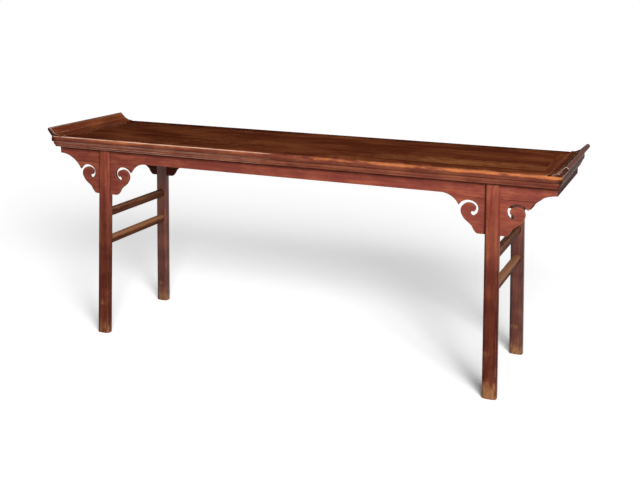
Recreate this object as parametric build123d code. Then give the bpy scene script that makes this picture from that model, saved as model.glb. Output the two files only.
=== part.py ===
"""Altar table with everted flanges, built as a jiatousun (elongated bridle joint) table.

The top is a mitred frame round a floating panel that dovetailed battens keep flat.  Each leg
head is slotted and clamps the long apron and a cloud-scroll spandrel, and stands twin tenons
into the long rail above.  Two oval stretchers tie the legs at each end.

Axes: +X along the table to its right end, +Y to its back, +Z up.  The origin is on the floor
under the middle of the top.  All lengths are in millimetres.
"""
import os
from math import acos, cos, radians, sin, sqrt, tan

from build123d import *

# ---------------------------------------------------------------- overall sizes
TABLE_HEIGHT = 830.0            # floor to the flat of the top
FRAME_LENGTH = 2056.0           # over the moulded ends of the frame
FRAME_DEPTH = 521.0             # over the moulded front and back
FRAME_THICKNESS = 44.5
RAIL_WIDTH = 80.0               # all four frame members, so the corners mitre at 45 degrees

# ---------------------------------------------------------------- edge moulding of the frame
ARRIS_RADIUS = 4.0              # worn upper edge of the long rails
UPPER_BAND_HEIGHT = 23.0
UPPER_BAND_CROWN = 0.9          # the upper band swells this much at its middle
GROOVE_DEPTH = 5.0              # quirk between the two bands
GROOVE_HEIGHT = 3.2
LOWER_BAND_HEIGHT = 12.0
LOWER_BAND_TAPER = 3.6          # the lower band rolls inwards by this much
FOOT_STRIP_INSET = 10.0         # flat strip at the bottom edge

# ---------------------------------------------------------------- floating panel and battens
PANEL_THICKNESS = 14.0
PANEL_GAP = 0.4                 # seam between the panel and the frame, all round
PANEL_TONGUE_THICKNESS = 6.0
PANEL_TONGUE_LENGTH = 7.0
PANEL_LIP = 4.5                 # wood of the rail above the panel tongue
GROOVE_CLEARANCE = 0.2          # round a tongue in its groove
GROOVE_END_ROOM = 1.5           # beyond the tip of a tongue, for the panel to swell into
BATTEN_COUNT = 4
BATTEN_WIDTH = 36.0
BATTEN_HEIGHT = 25.0            # below the panel
DOVETAIL_HEIGHT = 4.5
DOVETAIL_NECK = 20.0
DOVETAIL_FLARE = 3.0            # each side, from the neck to the tip
DOVETAIL_CLEARANCE = 0.2
BATTEN_TENON_WIDTH = 22.0
BATTEN_TENON_HEIGHT = 13.0
BATTEN_TENON_LENGTH = 18.0

# ---------------------------------------------------------------- mitre joints of the frame
MITRE_TENON_THICKNESS = 11.0
MITRE_TENON_DROP = 17.0         # top of the tenon below the flat of the top
MITRE_TENON_START = 26.0        # from the outer face of the long rail
MITRE_TENON_WIDTH = 38.0
MITRE_TENON_END = 14.0          # wood of the end rail left beyond the tenon
TENON_CLEARANCE = 0.15          # on each cheek of a tenon
TENON_END_ROOM = 1.0            # beyond the tip of a tenon

# ---------------------------------------------------------------- everted flanges
FLANGE_HEIGHT = 33.5            # above the flat of the top
FLANGE_OVERHANG = 17.0          # beyond the end of the frame
FLANGE_BASE = 50.0              # width of the seat on the frame
FLANGE_ROLL_RADIUS = 8.5        # rounded bead along the top
FLANGE_SLOPE = 45.0             # lean of the inner face under the bead, in degrees
FLANGE_QUIRK_HEIGHT = 10.5      # line between the leaning face and the cove
FLANGE_QUIRK_WIDTH = 2.0
FLANGE_QUIRK_DEPTH = 2.2
FLANGE_LIP = 1.2                # thin edge where the cove meets the top
FLANGE_TENON_COUNT = 3
FLANGE_TENON_PITCH = 130.0
FLANGE_TENON_THICKNESS = 10.0
FLANGE_TENON_LENGTH = 45.0
FLANGE_TENON_DEPTH = 14.0
FLANGE_TENON_INSET = 25.0       # middle of the tenons from the end of the frame

# ---------------------------------------------------------------- legs
LEG_FOOT_SETBACK = 202.5        # middle of the foot from the end of the frame
LEG_FOOT_INSET = 22.5           # and from its front
LEG_HEAD_SETBACK = 236.5        # middle of the leg where it meets the frame, likewise
LEG_HEAD_INSET = 42.5
LEG_FOOT_WIDTH = 54.0
LEG_FOOT_DEPTH = 37.0
LEG_HEAD_WIDTH = 51.6           # the slotted head keeps one size, the shaft below it tapers
LEG_HEAD_DEPTH = 36.6
LEG_FACE_CROWN = 3.0            # swell of the wide faces
LEG_SIDE_CROWN = 2.0            # swell of the narrow faces
LEG_CORNER_RADIUS = 9.0
LEG_TENON_WIDTH = 30.0
LEG_TENON_THICKNESS = 8.0
LEG_TENON_HEIGHT = 28.0
LEG_TENON_OFFSET = 11.0         # middle of each twin tenon from the middle of the slot

# ---------------------------------------------------------------- aprons and spandrels
BOARD_THICKNESS = 12.0          # long aprons and spandrels
BOARD_INSET = 41.5              # middle plane of the boards from the front of the frame
BOARD_HOUSING = 1.5             # each face is cut back this much where the leg clamps it
HOUSING_CLEARANCE = 0.3
SLOT_CLEARANCE = 0.15           # between a board and each cheek of the slot
APRON_HEIGHT = 50.0             # between the legs
SEAM_DROP = 57.5                # seam of the spandrel below the frame
APRON_TONGUE_THICKNESS = 5.0
APRON_TONGUE_HEIGHT = 4.0
APRON_TONGUE_MARGIN = 30.0      # tongue stops this far short of the leg
SEAM_TONGUE_THICKNESS = 4.0
SEAM_TONGUE_HEIGHT = 5.0
SEAM_TONGUE_REACH = 120.0       # each way from the middle of the leg
END_APRON_THICKNESS = 14.0
END_APRON_HEIGHT = 30.0
END_APRON_INSET = 16.2          # outer face from the end of the frame
END_APRON_LIP = 6.5             # wood left over the end of the long apron
END_TONGUE_MARGIN = 45.0        # tongue stops this far short of the long aprons' faces

# ---------------------------------------------------------------- cloud scroll of the spandrel
# Measured outwards from the middle of the spandrel and down from the underside of the frame.
SPANDREL_DROP = 186.0           # bottom edge
SPANDREL_FOOT_REACH = 48.0      # flat part of the bottom edge
CUSP_REACH = 120.5              # point between the arch and the scroll
CUSP_DROP = 89.5
MIDDLE_ARCH_END = 186.5         # where the arch towards the middle of the table runs out
SCROLL_REACH = 84.0             # middle of the curl
SCROLL_DROP = 107.5
SCROLL_RADIUS = 28.5            # outside of the curl
SCROLL_SLOT = 9.7               # width of the sawn gap round the curl
GAP_TURN_ANGLE = 132.0          # where the gap tightens; angles are in degrees, 0 is outwards
GAP_INNER_RADIUS = 26.0         # gap beyond that point
GAP_SIDE_ANGLE = 188.0          # halfway round the tight part
GAP_END_ANGLE = 236.0           # where the gap opens into its eye
CURL_LOW_ANGLE = -30.0          # where the curl runs into the S-curve
CURL_THROAT_ANGLE = 128.0       # where the curl turns into its hook
EYE_REACH = 69.5                # round eye that ends the gap
EYE_DROP = 115.7
EYE_RADIUS = 7.6
EYE_TIP_ANGLE = 125.0           # tip of the hook on the eye
EYE_LOW_ANGLE = 300.0           # underside of the eye, where it turns back into the gap
HOOK_THROAT_REACH = 59.0        # innermost point of the curl's hook
HOOK_THROAT_DROP = 98.5
CHEEK_REACH = 98.0              # S-curve from the curl down to the foot
CHEEK_DROP = 137.5
WAIST_REACH = 72.0
WAIST_DROP = 159.0
HEEL_REACH = 63.0
HEEL_DROP = 174.0

# ---------------------------------------------------------------- side stretchers
STRETCHER_HEIGHTS = {"upper": 518.0, "lower": 400.0}    # middle of each stretcher above the floor
STRETCHER_WIDTH = 31.0
STRETCHER_DEPTH = 34.0
STRETCHER_CROWN = 2.0           # swell of all four faces
STRETCHER_CORNER_RADIUS = 10.0
STRETCHER_TENON_WIDTH = 11.0
STRETCHER_TENON_DEPTH = 22.0
STRETCHER_TENON_LENGTH = 24.0

# ---------------------------------------------------------------- places worked out from the sizes
FRAME_UNDERSIDE = TABLE_HEIGHT - FRAME_THICKNESS
HALF_LENGTH = FRAME_LENGTH / 2
HALF_DEPTH = FRAME_DEPTH / 2
LEG_FOOT_X = HALF_LENGTH - LEG_FOOT_SETBACK
LEG_FOOT_Y = HALF_DEPTH - LEG_FOOT_INSET
LEG_HEAD_X = HALF_LENGTH - LEG_HEAD_SETBACK
LEG_HEAD_Y = HALF_DEPTH - LEG_HEAD_INSET
SPANDREL_BOTTOM = FRAME_UNDERSIDE - SPANDREL_DROP
SEAM_HEIGHT = FRAME_UNDERSIDE - SEAM_DROP
END_APRON_FACE = HALF_LENGTH - END_APRON_INSET
LONG_APRON_END = END_APRON_FACE - END_APRON_LIP
BOARD_CENTRE_Y = HALF_DEPTH - BOARD_INSET
BOARD_FACE_Y = BOARD_CENTRE_Y + BOARD_THICKNESS / 2
SIDES = {"left": -1, "right": 1}
FACES = {"front": -1, "back": 1}


def leg_axis(height):
    """Distance of a leg's middle from the middle of the table, along X and Y, at a height."""
    share = height / FRAME_UNDERSIDE
    return (
        LEG_FOOT_X + (LEG_HEAD_X - LEG_FOOT_X) * share,
        LEG_FOOT_Y + (LEG_HEAD_Y - LEG_FOOT_Y) * share,
    )


def leg_size(height):
    """Width and depth of a leg at a height; the shaft tapers evenly up to the slotted head."""
    share = min(height / SPANDREL_BOTTOM, 1)
    return (
        LEG_FOOT_WIDTH + (LEG_HEAD_WIDTH - LEG_FOOT_WIDTH) * share,
        LEG_FOOT_DEPTH + (LEG_HEAD_DEPTH - LEG_FOOT_DEPTH) * share,
    )


SPANDREL_X = leg_axis((FRAME_UNDERSIDE + SPANDREL_BOTTOM) / 2)[0]
END_ARCH_END = END_APRON_FACE - SPANDREL_X


def block(low, high):
    """Box between two opposite corners."""
    size = [high[i] - low[i] for i in range(3)]
    middle = [(high[i] + low[i]) / 2 for i in range(3)]
    return Pos(*middle) * Box(*size)


def mirrored(shape, side, face):
    """Copy of a front-right piece at another corner of the table."""
    if side < 0 and face > 0:
        return shape.rotate(Axis.Z, 180)
    if side < 0:
        return mirror(shape, Plane.YZ)
    if face > 0:
        return mirror(shape, Plane.XZ)
    return shape


# ---------------------------------------------------------------- top frame
def moulding_edges():
    """Section of a frame member: Y is the distance in from the outer face, Z the height."""
    top = TABLE_HEIGHT
    band_end = top - UPPER_BAND_HEIGHT
    groove_end = band_end - GROOVE_HEIGHT
    lower_end = groove_end - LOWER_BAND_HEIGHT
    crown = UPPER_BAND_CROWN
    lower_in = GROOVE_DEPTH + LOWER_BAND_TAPER
    arris_mid = ARRIS_RADIUS * (1 - cos(radians(45)))
    points = {
        "inner_top": (0, RAIL_WIDTH, top),
        "arris_top": (0, ARRIS_RADIUS + crown, top),
        "arris_side": (0, crown, top - ARRIS_RADIUS),
        "band_foot": (0, crown, band_end),
        "groove_top": (0, GROOVE_DEPTH, band_end - crown),
        "groove_foot": (0, GROOVE_DEPTH, groove_end),
        "lower_foot": (0, lower_in, lower_end),
        "strip_top": (0, FOOT_STRIP_INSET, lower_end),
        "strip_foot": (0, FOOT_STRIP_INSET, FRAME_UNDERSIDE),
        "inner_foot": (0, RAIL_WIDTH, FRAME_UNDERSIDE),
    }
    band_middle = (0, 0, (points["arris_side"][2] + band_end) / 2)
    lower_middle = (0, GROOVE_DEPTH + LOWER_BAND_TAPER / 4, groove_end - LOWER_BAND_HEIGHT / 2)
    return [
        Line(points["inner_top"], points["arris_top"]),
        ThreePointArc(points["arris_top"], (0, crown + arris_mid, top - arris_mid), points["arris_side"]),
        ThreePointArc(points["arris_side"], band_middle, points["band_foot"]),
        Line(points["band_foot"], points["groove_top"]),
        Line(points["groove_top"], points["groove_foot"]),
        ThreePointArc(points["groove_foot"], lower_middle, points["lower_foot"]),
        Line(points["lower_foot"], points["strip_top"]),
        Line(points["strip_top"], points["strip_foot"]),
        Line(points["strip_foot"], points["inner_foot"]),
        Line(points["inner_foot"], points["inner_top"]),
    ]


def moulded_bar(length):
    """Bar along X with the moulding towards -Y, its outer face at Y = 0."""
    return Pos(-length / 2, 0, 0) * extrude(make_face(moulding_edges()), length, dir=(1, 0, 0))


def mitred(bar, length):
    """Bar with both ends cut back at 45 degrees from the outer face."""
    plan = Polyline(
        (-length / 2, 0, 0),
        (length / 2, 0, 0),
        (length / 2 - RAIL_WIDTH, RAIL_WIDTH, 0),
        (RAIL_WIDTH - length / 2, RAIL_WIDTH, 0),
        close=True,
    )
    return bar & extrude(make_face(plan), TABLE_HEIGHT, dir=(0, 0, 1))


def panel_groove(length):
    """Groove for the panel tongue along the inner face of a frame member."""
    top = TABLE_HEIGHT - PANEL_LIP + GROOVE_CLEARANCE
    depth = PANEL_TONGUE_LENGTH - PANEL_GAP + GROOVE_END_ROOM
    height = PANEL_TONGUE_THICKNESS + 2 * GROOVE_CLEARANCE
    half = length / 2
    return block((-half, RAIL_WIDTH - depth, top - height), (half, RAIL_WIDTH + 1, top))


def mitre_tenon(side, clearance=0.0, end_room=0.0):
    """Tenon of the front rail that enters an end rail; the clearances make its mortise."""
    top = TABLE_HEIGHT - MITRE_TENON_DROP
    start_y = -HALF_DEPTH + MITRE_TENON_START
    tip = HALF_LENGTH - MITRE_TENON_END + end_room
    root = HALF_LENGTH - RAIL_WIDTH
    tenon = block(
        (root, start_y - clearance, top - MITRE_TENON_THICKNESS - clearance),
        (tip, start_y + MITRE_TENON_WIDTH + clearance, top + clearance),
    )
    return mirrored(tenon, side, -1)


def leg_tenons(clearance=0.0, end_room=0.0):
    """Twin tenons of the front right leg; the clearances make their mortises."""
    half = LEG_TENON_WIDTH / 2 + clearance
    reach = LEG_TENON_THICKNESS / 2 + clearance
    tenons = []
    for offset in (-LEG_TENON_OFFSET, LEG_TENON_OFFSET):
        y = -BOARD_CENTRE_Y + offset
        tenons.append(
            block(
                (LEG_HEAD_X - half, y - reach, FRAME_UNDERSIDE),
                (LEG_HEAD_X + half, y + reach, FRAME_UNDERSIDE + LEG_TENON_HEIGHT + end_room),
            )
        )
    return tenons


def batten_places():
    """X of each batten: they divide the inside of the frame evenly."""
    inside = FRAME_LENGTH - 2 * RAIL_WIDTH
    pitch = inside / (BATTEN_COUNT + 1)
    return [-inside / 2 + pitch * (i + 1) for i in range(BATTEN_COUNT)]


def batten_tenon(x, clearance=0.0, end_room=0.0):
    """Bar whose ends are the two tenons of a batten; the clearances make the mortises."""
    top = TABLE_HEIGHT - PANEL_THICKNESS - (BATTEN_HEIGHT - BATTEN_TENON_HEIGHT) / 2
    half = BATTEN_TENON_WIDTH / 2 + clearance
    reach = HALF_DEPTH - RAIL_WIDTH + BATTEN_TENON_LENGTH + end_room
    return block(
        (x - half, -reach, top - BATTEN_TENON_HEIGHT - clearance),
        (x + half, reach, top + clearance),
    )


def apron_tongue(clearance=0.0):
    """Tongue along the top of the front apron, between the legs."""
    reach = LEG_HEAD_X - LEG_HEAD_WIDTH / 2 - APRON_TONGUE_MARGIN + clearance
    half = APRON_TONGUE_THICKNESS / 2 + clearance
    return block(
        (-reach, -BOARD_CENTRE_Y - half, FRAME_UNDERSIDE),
        (reach, -BOARD_CENTRE_Y + half, FRAME_UNDERSIDE + APRON_TONGUE_HEIGHT + clearance),
    )


def end_tongue(side, clearance=0.0):
    """Tongue along the top of an end apron."""
    middle = END_APRON_FACE - END_APRON_THICKNESS / 2
    half = APRON_TONGUE_THICKNESS / 2 + clearance
    reach = BOARD_FACE_Y - END_TONGUE_MARGIN + clearance
    tongue = block(
        (middle - half, -reach, FRAME_UNDERSIDE),
        (middle + half, reach, FRAME_UNDERSIDE + APRON_TONGUE_HEIGHT + clearance),
    )
    return mirrored(tongue, side, -1)


def long_rail(face):
    """Front or back frame member, with its mitre tenons and all its mortises."""
    bar = Pos(0, -HALF_DEPTH, 0) * mitred(moulded_bar(FRAME_LENGTH), FRAME_LENGTH)
    bar -= Pos(0, -HALF_DEPTH, 0) * panel_groove(FRAME_LENGTH)
    for side in SIDES.values():
        bar += mitre_tenon(side)
        for tenon in leg_tenons(TENON_CLEARANCE, TENON_END_ROOM):
            bar -= mirrored(tenon, side, -1)
    for x in batten_places():
        bar -= batten_tenon(x, TENON_CLEARANCE, TENON_END_ROOM)
    bar -= apron_tongue(TENON_CLEARANCE)
    return mirrored(bar, 1, face)


def end_rail(side):
    """Left or right frame member, with the mortises that take the mitre tenons."""
    bar = Rot(0, 0, 90) * mitred(moulded_bar(FRAME_DEPTH), FRAME_DEPTH)
    groove = Rot(0, 0, 90) * panel_groove(FRAME_DEPTH)
    bar = Pos(HALF_LENGTH, 0, 0) * bar
    bar -= Pos(HALF_LENGTH, 0, 0) * groove
    tenon = mitre_tenon(1, TENON_CLEARANCE, TENON_END_ROOM)
    bar -= tenon
    bar -= mirror(tenon, Plane.XZ)
    for tenon in flange_tenons(TENON_CLEARANCE, TENON_END_ROOM):
        bar -= tenon
    bar -= end_tongue(1, TENON_CLEARANCE)
    return mirrored(bar, side, -1)


# ---------------------------------------------------------------- panel and battens
def dovetail(x, reach, clearance=0.0):
    """Dovetailed ridge along Y that slides in the underside of the panel."""
    foot = TABLE_HEIGHT - PANEL_THICKNESS
    neck = DOVETAIL_NECK / 2 + clearance
    tip = neck + DOVETAIL_FLARE
    height = DOVETAIL_HEIGHT + clearance
    section = Polyline(
        (x - neck, -reach, foot),
        (x + neck, -reach, foot),
        (x + tip, -reach, foot + height),
        (x - tip, -reach, foot + height),
        close=True,
    )
    return extrude(make_face(section), 2 * reach, dir=(0, 1, 0))


def top_panel():
    """Single-board floating panel, flush with the frame, tongued all round."""
    reach_x = HALF_LENGTH - RAIL_WIDTH - PANEL_GAP
    reach_y = HALF_DEPTH - RAIL_WIDTH - PANEL_GAP
    foot = TABLE_HEIGHT - PANEL_THICKNESS
    panel = block((-reach_x, -reach_y, foot), (reach_x, reach_y, TABLE_HEIGHT))
    tongue_top = TABLE_HEIGHT - PANEL_LIP
    tongue_x = reach_x + PANEL_TONGUE_LENGTH
    tongue_y = reach_y + PANEL_TONGUE_LENGTH
    panel += block(
        (-tongue_x, -tongue_y, tongue_top - PANEL_TONGUE_THICKNESS),
        (tongue_x, tongue_y, tongue_top),
    )
    for x in batten_places():
        panel -= dovetail(x, tongue_y, DOVETAIL_CLEARANCE)
    return panel


def batten(x):
    """Transverse batten: dovetailed into the panel, tenoned into both long rails."""
    reach = HALF_DEPTH - RAIL_WIDTH
    top = TABLE_HEIGHT - PANEL_THICKNESS
    half = BATTEN_WIDTH / 2
    bar = block((x - half, -reach, top - BATTEN_HEIGHT), (x + half, reach, top))
    bar += dovetail(x, reach - PANEL_GAP)
    return bar + batten_tenon(x)


# ---------------------------------------------------------------- everted flanges
def flange_tenons(clearance=0.0, end_room=0.0):
    """Stub tenons under the right flange; the clearances make their mortises."""
    middle = HALF_LENGTH - FLANGE_TENON_INSET
    half = FLANGE_TENON_THICKNESS / 2 + clearance
    reach = FLANGE_TENON_LENGTH / 2 + clearance
    first = -FLANGE_TENON_PITCH * (FLANGE_TENON_COUNT - 1) / 2
    tenons = []
    for i in range(FLANGE_TENON_COUNT):
        y = first + FLANGE_TENON_PITCH * i
        tenons.append(
            block(
                (middle - half, y - reach, TABLE_HEIGHT - FLANGE_TENON_DEPTH - end_room),
                (middle + half, y + reach, TABLE_HEIGHT),
            )
        )
    return tenons


def flange(side):
    """Everted flange: a cove, a quirk, a leaning face and a rounded bead that overhangs."""
    radius = FLANGE_ROLL_RADIUS
    roll_x = FLANGE_OVERHANG - radius
    roll_z = FLANGE_HEIGHT - radius
    slope = radians(FLANGE_SLOPE)

    # The outer face is the line from the frame's edge that is tangent to the bead.
    far = sqrt(roll_x ** 2 + roll_z ** 2)
    reach = sqrt(far ** 2 - radius ** 2)
    outer_angle = acos(roll_x / far) - acos(reach / far)
    outer = (reach * cos(outer_angle), reach * sin(outer_angle))

    # The leaning inner face leaves the bead at the slope's own tangent point.
    inner = (roll_x - radius * sin(slope), roll_z + radius * cos(slope))
    run = (inner[1] - FLANGE_QUIRK_HEIGHT) / tan(slope)
    bead_foot = (inner[0] - run, FLANGE_QUIRK_HEIGHT)
    quirk = (bead_foot[0] - FLANGE_QUIRK_WIDTH / 2, FLANGE_QUIRK_HEIGHT - FLANGE_QUIRK_DEPTH)
    cove_top = (bead_foot[0] - FLANGE_QUIRK_WIDTH, FLANGE_QUIRK_HEIGHT)

    # The cove is an arc that lies level where it meets the lip.
    rise = cove_top[1] - FLANGE_LIP
    width = cove_top[0] + FLANGE_BASE
    cove_radius = (width ** 2 + rise ** 2) / (2 * rise)
    half_turn = acos((cove_radius - rise) / cove_radius) / 2
    cove_middle = (
        -FLANGE_BASE + cove_radius * sin(half_turn),
        FLANGE_LIP + cove_radius * (1 - cos(half_turn)),
    )

    start_y = -HALF_DEPTH

    def place(point):
        return (HALF_LENGTH + point[0], start_y, TABLE_HEIGHT + point[1])

    bead_top = (roll_x, roll_z + radius)
    edges = [
        Line(place((-FLANGE_BASE, 0)), place((0, 0))),
        Line(place((0, 0)), place(outer)),
        ThreePointArc(place(outer), place((roll_x + radius, roll_z)), place(bead_top)),
        ThreePointArc(
            place(bead_top),
            place((roll_x - radius * sin(slope / 2), roll_z + radius * cos(slope / 2))),
            place(inner),
        ),
        Line(place(inner), place(bead_foot)),
        Line(place(bead_foot), place(quirk)),
        Line(place(quirk), place(cove_top)),
        ThreePointArc(place(cove_top), place(cove_middle), place((-FLANGE_BASE, FLANGE_LIP))),
        Line(place((-FLANGE_BASE, FLANGE_LIP)), place((-FLANGE_BASE, 0))),
    ]
    body = extrude(make_face(edges), FRAME_DEPTH, dir=(0, 1, 0))
    for tenon in flange_tenons():
        body += tenon
    return mirrored(body, side, -1)


# ---------------------------------------------------------------- legs
def crowned_section(width, depth, face_crown, side_crown, corner_radius, plane):
    """Oblong section with four swelling sides and rounded corners."""
    x = width / 2 - side_crown
    y = depth / 2 - face_crown
    with BuildSketch(plane) as section:
        with BuildLine():
            ThreePointArc((-x, -y), (0, -depth / 2), (x, -y))
            ThreePointArc((x, -y), (width / 2, 0), (x, y))
            ThreePointArc((x, y), (0, depth / 2), (-x, y))
            ThreePointArc((-x, y), (-width / 2, 0), (-x, -y))
        make_face()
        fillet(section.vertices(), corner_radius)
    return section.sketch.face()


def leg_section(height):
    """Level section of the front right leg."""
    x, y = leg_axis(height)
    width, depth = leg_size(height)
    plane = Plane(origin=(x, -y, height), x_dir=(1, 0, 0), z_dir=(0, 0, 1))
    return crowned_section(width, depth, LEG_FACE_CROWN, LEG_SIDE_CROWN, LEG_CORNER_RADIUS, plane)


def leg_blank():
    """Splayed and tapered front right leg before its joints are cut."""
    neck = leg_section(SPANDREL_BOTTOM)
    shaft = loft([leg_section(0), neck], ruled=True)
    head_x, head_y = leg_axis(FRAME_UNDERSIDE)
    neck_x, neck_y = leg_axis(SPANDREL_BOTTOM)
    lean = Vector(head_x - neck_x, neck_y - head_y, SPANDREL_DROP)
    return shaft + extrude(neck, lean.length, dir=lean.normalized())


def stretcher_tenon(height, clearance=0.0, end_room=0.0):
    """Bar along Y whose ends are the two tenons of a right-hand stretcher."""
    x, y = leg_axis(height)
    inner = y - leg_size(height)[1] / 2
    half = STRETCHER_TENON_WIDTH / 2 + clearance
    rise = STRETCHER_TENON_DEPTH / 2 + clearance
    reach = inner + STRETCHER_TENON_LENGTH + end_room
    return block((x - half, -reach, height - rise), (x + half, reach, height + rise))


def leg():
    """Front right leg: slotted head, twin tenons and two stretcher mortises."""
    body = leg_blank()
    web = BOARD_THICKNESS / 2 - BOARD_HOUSING + SLOT_CLEARANCE
    room = LEG_FOOT_WIDTH
    body -= block(
        (LEG_HEAD_X - room, -BOARD_CENTRE_Y - web, SPANDREL_BOTTOM),
        (LEG_HEAD_X + room, -BOARD_CENTRE_Y + web, FRAME_UNDERSIDE + 1),
    )
    for height in STRETCHER_HEIGHTS.values():
        body -= stretcher_tenon(height, TENON_CLEARANCE, TENON_END_ROOM)
    for tenon in leg_tenons():
        body += tenon
    return body


def leg_housing():
    """Two thin slabs, as wide as the leg and as steep, that the leg's cheeks take from a board."""
    web = BOARD_THICKNESS / 2 - BOARD_HOUSING
    slabs = []
    for inner, outer in ((web, BOARD_THICKNESS), (-BOARD_THICKNESS, -web)):
        corners = []
        for height in (SPANDREL_BOTTOM - 1, FRAME_UNDERSIDE + 1):
            x = leg_axis(height)[0]
            half = leg_size(height)[0] / 2 + HOUSING_CLEARANCE
            corners.append((x - half, x + half, height))
        (low_left, low_right, low), (high_left, high_right, high) = corners
        start = -BOARD_CENTRE_Y + inner
        outline = Polyline(
            (low_left, start, low),
            (low_right, start, low),
            (high_right, start, high),
            (high_left, start, high),
            close=True,
        )
        slabs.append(extrude(make_face(outline), outer - inner, dir=(0, 1, 0)))
    return slabs


# ---------------------------------------------------------------- aprons and spandrels
def wing_edges(towards, arch_end, arch_top):
    """Lower outline of one wing, from the spandrel's middle out to the end of its arch.

    towards is +1 for the wing at the table's end and -1 for the wing at its middle.
    arch_end and arch_top say where the arch ends, level, measured like the scroll.
    """
    middle = SPANDREL_X
    start_y = -BOARD_CENTRE_Y - BOARD_THICKNESS / 2

    def place(reach, drop):
        return (middle + towards * reach, start_y, FRAME_UNDERSIDE - drop)

    def around(reach, drop, radius, angle):
        turn = radians(angle)
        return (reach + radius * cos(turn), drop - radius * sin(turn))

    gap_radius = SCROLL_RADIUS + SCROLL_SLOT
    cusp = (CUSP_REACH, CUSP_DROP)
    curl = (SCROLL_REACH, SCROLL_DROP)
    eye = (EYE_REACH, EYE_DROP)
    tight = around(*curl, gap_radius - GAP_INNER_RADIUS, GAP_TURN_ANGLE)
    turn_point = around(*curl, gap_radius, GAP_TURN_ANGLE)
    gap_top = around(*curl, gap_radius, 90)
    gap_side = around(*tight, GAP_INNER_RADIUS, GAP_SIDE_ANGLE)
    gap_end = around(*tight, GAP_INNER_RADIUS, GAP_END_ANGLE)
    eye_low = around(*eye, EYE_RADIUS, EYE_LOW_ANGLE)
    eye_right = around(*eye, EYE_RADIUS, 0)
    eye_high = around(*eye, EYE_RADIUS, EYE_TIP_ANGLE / 2)
    hook_tip = around(*eye, EYE_RADIUS, EYE_TIP_ANGLE)
    curl_throat = around(*curl, SCROLL_RADIUS, CURL_THROAT_ANGLE)
    curl_top = around(*curl, SCROLL_RADIUS, (CURL_THROAT_ANGLE + CURL_LOW_ANGLE) / 2)
    curl_low = around(*curl, SCROLL_RADIUS, CURL_LOW_ANGLE)

    rise = CUSP_DROP - arch_top
    run = arch_end - CUSP_REACH
    arch_radius = (run ** 2 + rise ** 2) / (2 * rise)
    half_turn = acos((arch_radius - rise) / arch_radius) / 2
    arch_middle = (
        arch_end - arch_radius * sin(half_turn),
        arch_top + arch_radius * (1 - cos(half_turn)),
    )
    curl_turn = radians(CURL_LOW_ANGLE)
    curl_tangent = (-sin(curl_turn) * towards, 0, cos(curl_turn))
    return [
        Line(place(0, SPANDREL_DROP), place(SPANDREL_FOOT_REACH, SPANDREL_DROP)),
        Spline(
            place(SPANDREL_FOOT_REACH, SPANDREL_DROP),
            place(HEEL_REACH, HEEL_DROP),
            place(WAIST_REACH, WAIST_DROP),
            place(CHEEK_REACH, CHEEK_DROP),
            place(*curl_low),
            tangents=[(towards, 0, 0), curl_tangent],
        ),
        ThreePointArc(place(*curl_low), place(*curl_top), place(*curl_throat)),
        ThreePointArc(
            place(*curl_throat), place(HOOK_THROAT_REACH, HOOK_THROAT_DROP), place(*hook_tip)
        ),
        ThreePointArc(place(*hook_tip), place(*eye_high), place(*eye_right)),
        ThreePointArc(place(*eye_right), place(*eye_low), place(*gap_end)),
        ThreePointArc(place(*gap_end), place(*gap_side), place(*turn_point)),
        ThreePointArc(place(*turn_point), place(*gap_top), place(*cusp)),
        ThreePointArc(place(*cusp), place(*arch_middle), place(arch_end, arch_top)),
    ]


def head_board():
    """Right half of the front apron and its spandrel as one board, before it is parted."""
    start_y = -BOARD_CENTRE_Y - BOARD_THICKNESS / 2
    low = FRAME_UNDERSIDE - APRON_HEIGHT
    arch_start = SPANDREL_X - MIDDLE_ARCH_END
    end_low = FRAME_UNDERSIDE - END_APRON_HEIGHT
    edges = wing_edges(1, END_ARCH_END, END_APRON_HEIGHT)
    edges += wing_edges(-1, MIDDLE_ARCH_END, APRON_HEIGHT)
    edges += [
        Line((END_APRON_FACE, start_y, end_low), (END_APRON_FACE, start_y, FRAME_UNDERSIDE)),
        Line((END_APRON_FACE, start_y, FRAME_UNDERSIDE), (0, start_y, FRAME_UNDERSIDE)),
        Line((0, start_y, FRAME_UNDERSIDE), (0, start_y, low)),
        Line((0, start_y, low), (arch_start, start_y, low)),
    ]
    return extrude(make_face(edges), BOARD_THICKNESS, dir=(0, 1, 0))


def seam_tongue(clearance=0.0):
    """Tongue along the top edge of the spandrel."""
    half = SEAM_TONGUE_THICKNESS / 2 + clearance
    reach = SEAM_TONGUE_REACH + clearance
    return block(
        (SPANDREL_X - reach, -BOARD_CENTRE_Y - half, SEAM_HEIGHT),
        (SPANDREL_X + reach, -BOARD_CENTRE_Y + half, SEAM_HEIGHT + SEAM_TONGUE_HEIGHT + clearance),
    )


def board_room(low, high, x_end=END_APRON_FACE):
    """Space of the front boards between two heights, from the middle of the table out."""
    return block((0, -HALF_DEPTH, low), (x_end, 0, high))


def spandrel(board):
    """Front right spandrel: both cloud-scroll wings in one board that passes through the leg."""
    body = board & board_room(0, SEAM_HEIGHT)
    body += seam_tongue()
    for slab in leg_housing():
        body -= slab
    return body


def long_apron(board):
    """Front apron: one board from end to end, housed in the leg heads."""
    half = board & board_room(SEAM_HEIGHT, TABLE_HEIGHT, LONG_APRON_END)
    half -= seam_tongue(TENON_CLEARANCE)
    for slab in leg_housing():
        half -= slab
    return half + mirror(half, Plane.YZ) + apron_tongue()


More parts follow.
